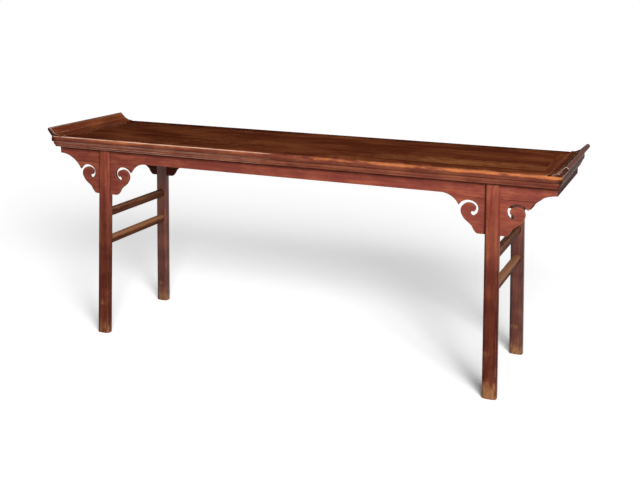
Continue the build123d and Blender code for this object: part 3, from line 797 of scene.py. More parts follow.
class WearGroup(NodeGroup):
    """Rubs edges and handled places pale, on some edges as a painted highlight, darkens
    where shade is painted, and darkens the hollows with dust and painted shade.
    """

    name = "handled_surface"
    inputs = VECTOR.named("Vector") | COLOUR.named(
        "Color", "Edge Color", "Rub Color", "Grime Color", "Aged Tint"
    ) | VALUE.named("Roughness", "Edge", "Hollow", "Rub", "Edge Amount", "Grime Amount", "Aged")
    outputs = COLOUR.named("Color") | VALUE.named("Roughness", "Dents", "Polish")
    broken = Noise(9.0, 60.0, 5.0, 0.65)
    patch = Noise(26.0, 150.0, 6.0, 0.68)
    smudge = Noise(3.0, 11.0, 5.0, 0.6)
    spots = Noise(55.0, 75.0, 2.0, 0.4)
    aged_polish = 0.15

    def build(self) -> None:
        """Draws the group.

        The colour is first multiplied by the shade tint as far as shade is painted.  A broken
        noise decides how far the wear reaches: an edge is pale where its mark plus the noise
        passes a limit, which is wear and on some pieces a painted highlight, and a hollow is
        dark the same way, which is dust and painted shade.  A patchy noise does this for the
        rubbed places.  Smudges and small dents come from two more noises.  Polish is the share
        of the sheen that the painted shade and the grime leave.
        """
        sheet, given = self.begin()
        vector, plus, times, mix = given["Vector"], sheet.plus, sheet.times, sheet.mix
        broken, patch, smudge, spots = (
            sheet.noise(vector, kind).outputs[0]
            for kind in (self.broken, self.patch, self.smudge, self.spots)
        )
        edge = sheet.span(plus(times(given["Edge"], given["Edge Amount"]), broken), 0.75, 1.45)
        rub = sheet.span(plus(given["Rub"], patch), 0.76, 1.18)
        # Hollows darken: dust, and painted shade.
        grime_and_shade = sheet.span(plus(times(given["Hollow"], given["Grime Amount"]), broken), 0.62, 1.20)
        smudge = sheet.span(smudge, 0.56, 0.80)
        # Painted shade: the colour is multiplied by the shade tint where shade is painted.
        colour = mix(given["Aged"], given["Color"], given["Aged Tint"], "MULTIPLY")
        for mask, share, title in (
            (smudge, 0.28, "Grime Color"), (rub, 0.9, "Rub Color"),
            (edge, 0.85, "Edge Color"), (grime_and_shade, 0.85, "Grime Color"),
        ):
            colour = mix(times(mask, share), colour, given[title])
        rough = sheet.minus(given["Roughness"], times(edge, 0.08))
        rough = plus(rough, times(grime_and_shade, 0.22))
        left = sheet.span(given["Aged"], 0.0, 1.0, 1.0, self.aged_polish)
        self.end(
            sheet, Color=colour, Roughness=plus(rough, times(smudge, 0.10), clamp=True),
            Dents=times(sheet.span(spots, 0.66, 0.78), -1.0),
            Polish=times(left, sheet.minus(1.0, times(grime_and_shade, 0.9))),
        )


class LampLightGroup(NodeGroup):
    """Light that a point of a lamp with a honeycomb grid lays on a level floor."""

    name = "lamp_light_on_floor"
    inputs = VECTOR.named("Place", "Lamp", "Axis") | VALUE.named("Height", "Grid", "Strength")
    outputs = VALUE.named("Light")

    def build(self) -> None:
        """Draws the group.

        The light is the strength times the cosine to the lamp's axis, times what the grid
        lets through (the tangent of its limit less the tangent to the axis), times the lamp's
        height over the cube of the distance.
        """
        sheet, given = self.begin()
        ray = sheet.vector("SUBTRACT", given["Place"], given["Lamp"])
        distance = sheet.length(ray)
        cosine = sheet.math("DIVIDE", sheet.dot(ray, given["Axis"]), distance)
        tangent = sheet.math("TANGENT", sheet.math("ARCCOSINE", cosine))
        passed = sheet.math("MAXIMUM", sheet.minus(given["Grid"], tangent), 0.0)
        fall = sheet.math("DIVIDE", given["Height"], sheet.math("POWER", distance, 3.0))
        light = sheet.times(sheet.times(passed, cosine), sheet.times(fall, given["Strength"]))
        self.end(sheet, Light=sheet.math("MAXIMUM", light, 0.0))


GRAIN, TONE, WEAR, LAMP_LIGHT = GrainGroup(), ToneGroup(), WearGroup(), LampLightGroup()


# ---------------- finishes
class GrainWay(Enum):
    """Direction that a board's grain runs in, as the turn that lays it along the pattern's X."""

    LENGTH = (0.0, 0.0, 0.0)
    DEPTH = (0.0, 0.0, -90.0)
    HEIGHT = (0.0, 90.0, 0.0)


@dataclass(frozen=True)
class WaxedWood:
    """Waxed hardwood: three tones of the wood, its wear, its painted shade and its polish."""

    name: str
    dark: Place
    middle: Place
    light: Place
    edge: Place
    rub: Place
    # Colour of the hollows and smudges: dust, and in the hollows painted shade too.
    grime_and_shade: Place = (0.020, 0.009, 0.006)
    aged_tint: Place = (0.45, 0.42, 0.40)
    figure: float = 1.0
    streak: float = 1.0
    mottle: float = 1.0
    mottle_scale: float = 1.0
    ring_scale: float = 95.0
    waver: float = 0.05
    edge_amount: float = 0.7
    grime_and_shade_amount: float = 0.8
    roughness: float = 0.46
    specular: float = 0.0
    wax: float = 0.0
    bump: float = 0.35
    relief: float = 0.0006
    # Heights, in metres, over which a shadow under the frame is painted, and how dark it gets.
    frame_shadow: tuple[float, float] | None = None
    frame_shadow_depth: float = 0.85

    def cut(self, title: str, way: GrainWay, pith: Place) -> bpy.types.Material:
        """Makes the material of one board.

        Args:
            title: name of the board.
            way: direction of the grain.
            pith: a point of the tree's middle line, in metres; it sets how the rings are cut.
        Returns:
            The material.
        """
        material = bpy.data.materials.new(f"{self.name}_{title}")
        sheet = NodeSheet.fresh(material)
        place = sheet.place()
        turn = Euler([radians(angle) for angle in way.value])
        shift = turn.to_matrix() @ -Vector(pith)
        feeds = {"Vector": place, "Rotation": turn, "Location": shift}
        vector = sheet.node("ShaderNodeMapping", feeds).outputs[0]
        grain = GRAIN.place(
            sheet, Vector=vector, Ring_Scale=self.ring_scale, Waver=self.waver,
            Mottle_Scale=self.mottle_scale,
        )
        tone = TONE.place(
            sheet, **grain, Dark=self.dark, Middle=self.middle, Light=self.light,
            Figure=self.figure, Roughness=self.roughness,
            Streak_Amount=self.streak, Mottle_Amount=self.mottle,
        )
        worn = WEAR.place(
            sheet, Vector=vector, Color=tone["Color"], Roughness=tone["Roughness"],
            Edge=sheet.attribute("edge"), Hollow=sheet.attribute("hollow"),
            # Shade: the painted shade, which darkens the colour by the shade tint.
            Rub=sheet.attribute("rub"), Aged=self.age(sheet, place),
            Edge_Color=self.edge, Rub_Color=self.rub, Grime_Color=self.grime_and_shade,
            Edge_Amount=self.edge_amount, Grime_Amount=self.grime_and_shade_amount,
            Aged_Tint=self.aged_tint,
        )
        height = sheet.plus(tone["Height"], worn["Dents"])
        feeds = {"Strength": self.bump, "Distance": self.relief, "Height": height}
        shader = sheet.node("ShaderNodeBsdfPrincipled", {
            "Base Color": worn["Color"], "Roughness": worn["Roughness"],
            "Normal": sheet.node("ShaderNodeBump", feeds).outputs[0],
            "Specular IOR Level": self.specular,
        })
        if self.wax:
            sheet.feed(shader.inputs["Coat Weight"], sheet.times(worn["Polish"], self.wax))
            sheet.feed(shader.inputs["Coat Roughness"], self.roughness)
        sheet.surface(shader)
        return material

    def age(self, sheet: NodeSheet, place: Socket) -> Socket:
        """Painted shade of the surface: the stored one, or the painted shadow under an overhang if
        more.

        Args:
            sheet: the material's sheet.
            place: object coordinates.
        Returns:
            The painted shade, 0 to 1.
        """
        stored = sheet.attribute("aged")
        if self.frame_shadow is None:
            return stored
        height = sheet.node("ShaderNodeSeparateXYZ", {0: place}).outputs["Z"]
        # Painted shadow under the frame: darker towards the underside.
        return sheet.math("MAXIMUM", stored, sheet.span(height, *self.frame_shadow, 0.0, self.frame_shadow_depth))


# Heights where the painted shadow under the frame sets in, on the aprons and leg heads.
UNDER_FRAME_SHADOW = (0.7745, 0.7870)          # heights in metres where the frame's dusk sets in
# Tint of the painted shade on the rail ends and under the frame: dark, with a grey cast of painted
# sheen.
RAIL_SHADE_TINT = (0.11, 0.12, 0.14)
TOP_WOOD = WaxedWood(
    "top_wood", edge=(0.26, 0.09, 0.04), rub=(0.32, 0.125, 0.040),
    dark=(0.067, 0.014, 0.006), middle=(0.131, 0.029, 0.012), light=(0.208, 0.062, 0.021),
    figure=0.7, ring_scale=70.0, roughness=0.55,
)
END_TOP_WOOD = replace(
    TOP_WOOD, name="end_top_wood", figure=0.35, streak=0.4,
    dark=(0.083, 0.018, 0.008), middle=(0.160, 0.037, 0.016), light=(0.244, 0.075, 0.025),
)
# Rail wood: its pale edge colour is a painted glint on the front arris as well as wear.
RAIL_WOOD = WaxedWood(
    "rail_wood", edge=(0.60, 0.37, 0.27), rub=(0.37, 0.118, 0.036), aged_tint=RAIL_SHADE_TINT,
    dark=(0.096, 0.021, 0.013), middle=(0.154, 0.040, 0.023), light=(0.223, 0.069, 0.033),
    figure=0.6, mottle_scale=2.5, specular=0.02, wax=0.13, edge_amount=0.9,
)
# Flange wood: the pale edge colour is a painted highlight as well as wear; the grey shade tint is
# painted shade with a painted sheen.
FLANGE_WOOD = WaxedWood(
    "flange_wood", edge=(0.62, 0.44, 0.36), rub=(0.25, 0.10, 0.05), aged_tint=(0.18, 0.22, 0.25),
    dark=(0.066, 0.017, 0.011), middle=(0.117, 0.032, 0.021), light=(0.169, 0.052, 0.032),
    figure=0.7, specular=0.01, wax=0.08,
)
APRON_WOOD = WaxedWood(
    "apron_wood", edge=(0.30, 0.10, 0.06), rub=(0.36, 0.110, 0.045), aged_tint=RAIL_SHADE_TINT,
    dark=(0.112, 0.023, 0.017), middle=(0.179, 0.041, 0.028), light=(0.245, 0.065, 0.034),
    figure=0.40, streak=0.55, mottle_scale=2.6, roughness=0.55, specular=0.01, wax=0.10,
    frame_shadow=UNDER_FRAME_SHADOW,
)
# The leg's shade tint darkens it where shade is painted, also under the frame.
LEG_WOOD = WaxedWood(
    "leg_wood", edge=(0.33, 0.12, 0.07), rub=(0.26, 0.120, 0.048), aged_tint=(0.14, 0.10, 0.09),
    dark=(0.122, 0.023, 0.014), middle=(0.204, 0.045, 0.024), light=(0.304, 0.083, 0.040),
    figure=0.8, mottle_scale=1.8, roughness=0.44, specular=0.03, wax=0.20, frame_shadow=UNDER_FRAME_SHADOW,
)
# Back legs: the blue-grey shade tint is painted shade with a painted grey sheen.
BACK_LEG_WOOD = replace(
    LEG_WOOD, name="back_leg_wood", specular=0.12, wax=0.9, aged_tint=(0.16, 0.28, 0.36)
)
STRETCHER_WOOD = WaxedWood(
    "stretcher_wood", edge=(0.20, 0.10, 0.06), rub=(0.22, 0.095, 0.043),
    dark=(0.048, 0.013, 0.007), middle=(0.086, 0.027, 0.013), light=(0.136, 0.050, 0.023),
    figure=0.9, roughness=0.5, specular=0.01, wax=0.04,
)
HIDDEN_WOOD = WaxedWood(
    "hidden_wood", edge=(0.24, 0.13, 0.08), rub=(0.24, 0.13, 0.08),
    dark=(0.080, 0.028, 0.016), middle=(0.150, 0.062, 0.034), light=(0.21, 0.095, 0.052),
    figure=0.9, roughness=0.72, specular=0.02, bump=0.6,
)


@dataclass(frozen=True)
class Lumber:
    """What a piece is cut from.

    Attributes:
        wood: finish of the piece.
        way: direction of its grain.
        pith: a point of the tree's middle line, in metres.
        slot: the record's material slot; not used.
        upper: finish of the chosen faces.
        chosen: tells from (n, 3) centres in millimetres and (n, 3) normals which faces.
    """

    wood: WaxedWood
    way: GrainWay
    pith: Place
    slot: str
    upper: WaxedWood | None = None
    chosen: Choice | None = None

    def dress(self, piece: bpy.types.Object) -> None:
        """Gives a piece its own cut of the wood.

        Args:
            piece: mesh object.
        """
        piece.data.materials.clear()
        piece.data.materials.append(self.wood.cut(piece.name, self.way, self.pith))
        if self.upper:
            self.cover(piece)

    def cover(self, piece: bpy.types.Object) -> None:
        """Gives the chosen faces of a dressed piece the upper wood.

        Args:
            piece: mesh object.
        """
        polygons = piece.data.polygons
        centres, normals = np.empty(len(polygons) * 3), np.empty(len(polygons) * 3)
        polygons.foreach_get("center", centres)
        polygons.foreach_get("normal", normals)
        mask = self.chosen(centres.reshape(-1, 3) / MM, normals.reshape(-1, 3))
        piece.data.materials.append(self.upper.cut(f"{piece.name}_upper", self.way, self.pith))
        polygons.foreach_set("material_index", mask.astype(np.int32))


def settle(skin: Skin, nodes: list[str], lumber: Lumber, **wear: Wear | None) -> None:
    """Makes a piece, dresses it, puts it on the frame in place of its nodes and reports it.

    Args:
        skin: the closed skin of the piece.
        nodes: the nodes that it stands for.
        lumber: what it is cut from.
        wear: its rub, painted shade and edge, as Skin.finish takes them.
    """
    piece = skin.finish(**wear)
    lumber.dress(piece)
    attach(piece, "root")
    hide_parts(*nodes)
    LOG.info("%s: %d faces, stands for %s", piece.name, len(piece.data.polygons), nodes)


# ---------------- top frame
@dataclass
class TopFrame:
    """Four mitred members with a two-band edge moulding."""

    sizes: TableSizes = SIZES
    arris: float = 4.0
    upper_band: float = 23.0
    crown: float = 0.9
    groove_depth: float = 5.0
    groove_height: float = 3.2
    lower_band: float = 12.0
    lower_taper: float = 3.6
    foot_inset: float = 10.0
    quirk: float = 1.1
    panel_room: float = 0.2
    mitre_gap: float = 0.05
    mitre_width: float = 1.5
    joint_mark: float = 0.45
    worn_off: float = 0.28
    worn_down: float = 0.12
    rub_reach: float = 38.0
    station_step: float = 9.0
    end_stations: tuple[float, ...] = (0.0, 0.004, 0.012)

    def moulding(self) -> tuple[Points, Points]:
        """Section of a member: distance in from the outer face, and height.

        The upper band is an arc that swells by the crown, the lower one an arc that rolls in
        by its taper; a quirk is sunk between them.

        Returns:
            (n, 2) outline and (n,) marks.
        """
        top, foot = self.sizes.top, self.sizes.underside
        band_end = top - self.upper_band
        groove_end = band_end - self.groove_height
        lower_end = groove_end - self.lower_band
        deep, inside = self.groove_depth, self.sizes.rail_width - self.panel_room
        swell = (0, (top + band_end) / 2 - 2)
        upper = arc((self.crown, top - 5), swell, (self.crown, band_end + 1), 9)
        waist = (deep + self.lower_taper / 4, groove_end - self.lower_band / 2)
        lower = arc((deep, groove_end), waist, (deep + self.lower_taper, lower_end), 7)
        loop, marks = rounded([
            Corner(inside, top, 0.6),
            Corner(self.crown, top, self.arris),
            *plain(upper[1:-1]),
            Corner(self.crown, band_end, 1.3),
            # The quirk's hollow corners darken: dust with painted shade.
            Corner(deep + self.quirk, band_end - 0.6, 0.5),
            Corner(deep + self.quirk, groove_end, 0.5),
            Corner(*lower[0], 0.8),
            *plain(lower[1:-1]),
            Corner(*lower[-1], 1.0),
            Corner(self.foot_inset, lower_end, 0.5),
            Corner(self.foot_inset, foot, 0.6),
            Corner(inside, foot, 0.6),
        ])
        # Marks the foot of the lower band pale: a painted sheen strip, with wear.
        bead = (loop[:, 1] > lower_end) & (loop[:, 1] < lower_end + 4.5)
        bead &= loop[:, 0] < self.foot_inset
        return loop, np.where(bead, np.maximum(marks, 0.6), marks)

    def member(self, name: str, half: float, along_x: bool, sign: int, seed: float) -> Skin:
        """One member: the moulding carried along its length between two mitre planes.

        At each station the length reached is the station's share of the half length, less the
        point's distance in from the outer face, so the ends are cut at 45 degrees.  A slow
        ripple wears the arrises by up to half a millimetre.

        Args:
            name: name of the piece.
            half: half the length over the outer faces.
            along_x: whether the member runs along X.
            sign: side of the table that the outer face is on.
            seed: shifts the ripple.
        Returns:
            The closed skin.
        """
        section, marks = self.moulding()
        in_from_face, height = section.T[:, None]
        count = max(int((half - self.sizes.rail_width) / self.station_step), 24)
        ends = np.array(self.end_stations)
        steps = np.concatenate([ends, np.linspace(0.03, 0.97, count), 1 - ends[::-1]])
        stations = steps[:, None] * 2 - 1
        reach = half - self.mitre_gap - in_from_face
        along = stations * reach
        worn = np.clip(marks, 0, 1)[None]
        across = in_from_face + worn * (self.worn_off + self.worn_off * ripple(along, seed))
        up = height - worn * self.worn_down * (1 + ripple(along, seed + 2))
        outer = self.sizes.half_depth if along_x else self.sizes.half_length
        side = sign * (outer - across)
        points = xyz(along, side, up) if along_x else xyz(side, along, up)
        mitre = fade((1 - np.abs(stations)) * reach, self.mitre_width)
        marks = marks[None] * (1 - mitre) - self.joint_mark * mitre
        return Skin(name).tube(points, marks, -self.joint_mark)

    def front_rub(self, points: Points) -> Points:
        """Golden wear on the upper band: strong to the right, in spells to the left.

        Args:
            points: (n, 3) array in millimetres.
        Returns:
            The heavy wear, 0 to 1.
        """
        x, y, z = points.T
        depth = self.sizes.top - z
        high = fade(np.clip(depth - 5.0, 0, None), 9.0) * ramp(-depth, -30.0, 20.0)
        high *= 0.72 + 0.28 * ramp(depth, 0.0, 5.5)
        stretch = 0.46 + 0.15 * np.tanh((x - 250) / 350) + 0.14 * fade(x + 650, 260)
        near = fade(y + self.sizes.half_depth, self.rub_reach)
        return np.clip(near * high * (stretch + 0.16 * ripple(x * 2, 4.2)), 0, 1)

    def age(self, points: Points) -> Points:
        """Painted shade on the two ends' outer sides, and a little on the foot of the upper band.
        """
        ends = 0.85 * ramp(np.abs(points[:, 0]) - self.sizes.half_length, -12.5, 2.0)
        return np.maximum(ends, 0.26 * fade(self.sizes.top - 19.0 - points[:, 2], 5.5))

    def pale_arris(self, points: Points) -> Points:
        """Pale front arris: a painted glint with wear, strong left of the middle, less to the
        right.
        """
        left = under(points[:, 0], -60, 160)
        return 0.15 + 0.85 * left * (0.85 + 0.15 * ripple(points[:, 0] * 4, 1.1))

    def upper_side(self, centres: Points, normals: Points) -> Points:
        """The flat upper side."""
        return (centres[:, 2] > self.sizes.top - 1.0) & (normals[:, 2] > 0.97)

    def build(self) -> None:
        """Makes and settles the four members."""
        length, depth = self.sizes.half_length, self.sizes.half_depth
        plan = (
            ("front_rail", length, True, -1, (0.1, -0.33, 0.69)),
            ("back_rail", length, True, 1, (0.4, 0.36, 0.70)),
            ("left_end_rail", depth, False, -1, (-1.10, 0.1, 0.70)),
            ("right_end_rail", depth, False, 1, (1.13, 0.3, 0.71)),
        )
        for number, (node, half, along_x, sign, pith) in enumerate(plan):
            skin = self.member(f"{node}_moulded", half, along_x, sign, 1.7 * number)
            way = GrainWay.LENGTH if along_x else GrainWay.DEPTH
            upper = TOP_WOOD if along_x else END_TOP_WOOD
            settle(
                skin, [node], Lumber(RAIL_WOOD, way, pith, "moulded_rail", upper, self.upper_side),
                rub=self.front_rub if node == "front_rail" else None,
                aged=self.age, edge=self.pale_arris if along_x else None,
            )


@dataclass
class TopBoard:
    """Single floating board, flush with the frame."""

    sizes: TableSizes = SIZES
    thickness: float = 14.0
    gap: float = 0.25
    soft: float = 0.5
    border: float = 0.5
    dish: float = 0.12
    sunk: float = 0.02
    counts: tuple[int, int] = (121, 41)
    spots: tuple[Spot, ...] = (
        Spot((650, -110, 830), (420, 90, 50), 0.25),
        Spot((-330, -20, 830), (300, 110, 50), 0.26),
    )

    def rub(self, points: Points) -> Points:
        """Paler towards the front, and in two broad spots."""
        front = 0.30 * ramp(-points[:, 1], -60, 260)
        return front + sum(spot.at(points) for spot in self.spots)

    def board(self) -> Skin:
        """Two faces of a fine grid, a little dished, and a softened rim between them.

        The dish is the product of two ripples and of one minus the eighth power of each share
        of the way to the edge, so it dies out at the rim.

        Returns:
            The closed skin.
        """
        reach = np.array([self.sizes.half_length, self.sizes.half_depth])
        reach -= self.sizes.rail_width + self.gap
        flat = reach - self.soft - self.border
        low, high = self.sizes.top - self.thickness, self.sizes.top
        shares = np.meshgrid(*(np.linspace(-1, 1, count) for count in self.counts), indexing="ij")
        x, y = (share * half for share, half in zip(shares, flat))
        dish = self.dish * ripple(x, 1.3) * ripple(y * 3, 5.1)
        dish *= (1 - shares[0] ** 8) * (1 - shares[1] ** 8)
        skin = Skin("top_board")
        for height in (high - (self.sunk + np.abs(dish)), low + (self.sunk + np.abs(dish))):
            skin.grid(xyz(x, y, height))
        plan = np.stack([x, y], -1)
        edge = np.vstack([plan[:-1, 0], plan[-1, :-1], plan[:0:-1, -1], plan[0, :0:-1]])
        inset, lift = rim(self.soft, np.array([0, 0.12, 0.5, 0.88, 1.0]) * pi / 2)
        insets = both_ends(np.append(self.soft + self.border, inset))[:, None, None]
        lifts = np.append(self.sunk, lift)
        heights = np.concatenate([high - lifts, low + lifts[::-1]])
        rings = edge[None] * (reach / flat) * (1 - insets / reach)
        marks = both_ends(np.append(-0.2, np.full(len(inset), -0.7)))[:, None]
        skin.grid(xyz(rings[..., 0], rings[..., 1], heights[:, None]), marks, closed=True)
        return skin

    def build(self) -> None:
        """Makes and settles the board."""
        lumber = Lumber(TOP_WOOD, GrainWay.LENGTH, (0.35, 0.05, 0.56), "top_board")
        settle(self.board(), ["top_panel"], lumber, rub=self.rub)


# ---------------- flanges
@dataclass
class EvertedFlange:
    """Flange that curls up and out at each end of the top."""

    sizes: TableSizes = SIZES
    height: float = 33.5
    overhang: float = 17.0
    base: float = 50.0
    roll: float = 8.5
    slope: float = 45.0
    quirk_height: float = 10.5
    quirk_width: float = 2.0
    quirk_depth: float = 2.2
    lip: float = 1.2
    room: float = 0.03
    sunk: float = 0.02
    edge: float = 1.1
    end_border: float = 1.2
    stations: int = 90
    worn_off: float = 0.22

    def outline(self) -> tuple[Points, Points]:
        """Section from the side: a cove, a quirk, a leaning face and a bead.

        The outer face is the line from the frame's edge that is tangent to the bead, the cove
        an arc that lies level where it meets the lip.

        Returns:
            (n, 2) outline, outwards and up from the frame's edge, and (n,) marks.
        """
        roll_x, roll_z, radius = self.overhang - self.roll, self.height - self.roll, self.roll
        lean = radians(self.slope)
        far = sqrt(roll_x ** 2 + roll_z ** 2)
        reach = sqrt(far ** 2 - radius ** 2)
        angle = acos(roll_x / far) - acos(reach / far)
        outer = (reach * cos(angle), reach * sin(angle))
        inner = (roll_x - radius * sin(lean), roll_z + radius * cos(lean))
        bead_foot = inner[0] - (inner[1] - self.quirk_height) / tan(lean)
        cove_end = bead_foot - self.quirk_width
        bead = arc(outer, (roll_x + radius, roll_z), inner, 19)
        cove = level_arc((cove_end, self.quirk_height), (-self.base, self.lip), 15)
        quirk = (bead_foot - self.quirk_width / 2, self.quirk_height - self.quirk_depth)
        loop, marks = rounded([
            Corner(-self.base, self.sunk),
            Corner(-0.4, self.sunk, 0.5),
            *plain(bead),
            Corner(bead_foot, self.quirk_height, 0.9),
            Corner(*quirk, 0.25),
            Corner(cove_end, self.quirk_height, 0.5),
            *plain(cove[1:-1]),
            Corner(-self.base, self.lip, 0.4),
        ], guard=0.5)
        # Marks a pale line along the bead's crest: a painted highlight, with wear.
        crest = np.sum((loop - (0.2 * radius, self.height)) ** 2, 1)
        return loop, np.where(marks == 0, 0.8 * np.exp(-crest / 40.0), marks)

    def flange(self, name: str, side: Side, seed: float) -> Skin:
        """One flange: the outline carried from front to back between softened ends.

        Args:
            name: name of the piece.
            side: end of the table.
            seed: shifts the ripple that wears the arrises.
        Returns:
            The closed skin.
        """
        loop, marks = self.outline()
        edge, half = self.edge, self.sizes.half_depth
        inset, depth = rim(edge)
        depth = np.concatenate([[0, 0], depth])
        inset = np.concatenate([[edge + self.end_border, edge + 0.3], inset])
        insets = both_ends(inset, np.zeros(self.stations + 2)) + self.room
        middle = np.linspace(-half + 3 * edge, half - 3 * edge, self.stations)
        depths = np.concatenate([
            -half + depth, [-half + 1.5 * edge], middle, [half - 1.5 * edge], half - depth[::-1],
        ])[:, None]
        # The rims of both ends are marked pale: a painted highlight round the end, with wear.
        end_marks = np.array([0.0, 0.15, 1.0, 1.0, 1.0, 1.0, 1.0, 0.6])
        ends = both_ends(end_marks, np.zeros(self.stations))[:, None]
        out, up = np.moveaxis(offset(loop, insets), -1, 0)
        up = up - np.clip(marks, 0, 1)[None] * (
            self.worn_off + self.worn_off * ripple(depths * 2, seed)
        )
        points = xyz(side * (self.sizes.half_length + out), depths, self.sizes.top + up)
        return Skin(name).tube(points, np.where(ends > 0.3, np.maximum(ends, marks), marks))

    def reach(self, points: Points) -> tuple[Points, Points]:
        """How far points lie outwards from the frame's edge and above the top."""
        return np.abs(points[:, 0]) - self.sizes.half_length, points[:, 2] - self.sizes.top

    def age(self, points: Points) -> Points:
        """Painted shade on the outer side, most below the bead; the two ends are darker too.

        Args:
            points: (n, 3) array in millimetres.
        Returns:
            How far the colour is darkened, 0 to 1.
        """
        out, high = self.reach(points)
        outer = ramp(out - 0.5 * np.clip(high - 22, 0, None), -1.0, 3.0)
        end = ramp(np.abs(points[:, 1]) - self.sizes.half_depth, -0.4, 0.3)
        return np.clip(0.85 * outer * (1 - 0.8 * ramp(high, 20.0, 6.0)) + 0.75 * end, 0, 0.9)

    def contour_wear_and_glint(self, points: Points) -> Points:
        """Pale arris: a painted highlight with wear along the inner contour, little along the
        outer one.

        Args:
            points: (n, 3) array in millimetres.
        Returns:
            The share of the pale edge that is kept.
        """
        out, high = self.reach(points)
        halfway = np.interp(out, (-50, -20, -10, 0, 10, 17), (0.6, 2, 8, 14, 24, 27))
        return np.where(high > halfway, 1.0, 0.12)

    def inner_side(self, centres: Points, normals: Points) -> Points:
        """The cove and the leaning face, from inside the lip up to the bead.

        Args:
            centres: (n, 3) middles of the faces.
            normals: (n, 3) normals.
        Returns:
            Which faces lie on it.
        """
        out, _ = self.reach(centres)
        inwards = -np.sign(centres[:, 0]) * normals[:, 0]
        inside_lip = (out > 1.5 - self.base) | (centres[:, 0] < 0)
        below_bead = out < self.overhang - 2 * self.roll
        return (normals[:, 2] > 0.5) & (inwards > -0.2) & below_bead & inside_lip

    def build(self) -> None:
        """Makes and settles both flanges."""
        for side, seed in ((Side.LEFT, 0.6), (Side.RIGHT, 2.3)):
            node = f"{label(side)}_flange"
            lumber = Lumber(
                FLANGE_WOOD, GrainWay.DEPTH, (side * 1.09, 0.2, 0.80), "flange_wood",
                END_TOP_WOOD, self.inner_side,
            )
            skin = self.flange(f"{node}_curl", side, seed)
            settle(skin, [node], lumber, aged=self.age, edge=self.contour_wear_and_glint)


# ---------------- legs
@dataclass
class SwellingSection:
    """Oblong section with four swelling sides and rounded corners, as a function of its normal.

    At a normal's angle the point is a core point plus the corner radius along the normal.  The
    core point slides along a side's own circle while the normal is within that side, and rests
    at the core's corner while the normal turns from one side to the next.
    """

    width: Points
    depth: Points
    side_crown: float
    face_crown: float
    corner: float
    repeats: ClassVar[int] = 12

    def __post_init__(self) -> None:
        """Works out the circles of the sides and the core's corner.

        A side's radius is its half chord squared plus its crown squared, over twice the crown.
        The core's corner is where the two shrunken side circles cross, found by repetition.
        """
        chord_x = self.width / 2 - self.side_crown
        chord_y = self.depth / 2 - self.face_crown
        face, side = self.face_crown, self.side_crown
        self.face_core = (chord_x ** 2 + face ** 2) / (2 * face) - self.corner
        self.side_core = (chord_y ** 2 + side ** 2) / (2 * side) - self.corner
        middle_y = self.depth / 2 - self.face_core - self.corner
        middle_x = self.width / 2 - self.side_core - self.corner
        core_x, core_y = chord_x - self.corner, chord_y - self.corner
        for _ in range(self.repeats):
            core_x = middle_x + np.sqrt(self.side_core ** 2 - core_y ** 2)
            core_y = middle_y + np.sqrt(self.face_core ** 2 - core_x ** 2)
        self.core_x, self.core_y = core_x, core_y

    def point(self, angle: Points) -> tuple[Points, Points]:
        """Points of the section by the angle of its outward normal.

        Args:
            angle: angles, 0 across and a quarter turn outwards.
        Returns:
            Distances across and out.
        """
        across, out = np.cos(angle), np.sin(angle)
        face_limit = self.core_x / self.face_core
        side_limit = self.core_y / self.side_core
        x = np.clip(self.face_core * across, -self.core_x, self.core_x)
        y = np.clip(self.side_core * out, -self.core_y, self.core_y)
        swell_y = self.face_core * (np.abs(out) - np.sqrt(1 - face_limit ** 2))
        swell_x = self.side_core * (np.abs(across) - np.sqrt(1 - side_limit ** 2))
        y = y + np.where(np.abs(across) < face_limit, np.sign(out) * swell_y, 0)
        x = x + np.where(np.abs(out) < side_limit, np.sign(across) * swell_x, 0)
        return x + self.corner * across, y + self.corner * out

    def face_depth(self, across: Points) -> Points:
        """Distance from the middle to the wide face at an offset across it."""
        radius = self.face_core + self.corner
        return self.depth / 2 - radius + np.sqrt(radius ** 2 - across ** 2)


LEG_SPOTS = {
    "front_left": (
        Spot((-820, -252, 135), (30, 30, 18), 0.42), Spot((-812, -252, 300), (24, 30, 30), 0.15),
    ),
    "front_right": (
        Spot((800, -252, 170), (22, 30, 18), 0.45), Spot((788, -240, 772), (9, 30, 10), 0.42),
        Spot((812, -250, 40), (40, 30, 40), 0.2),
    ),
    "back_left": (Spot((-823, 225, 90), (30, 40, 14), 0.3),),
    "back_right": (Spot((812, 225, 120), (30, 40, 18), 0.45),),
}


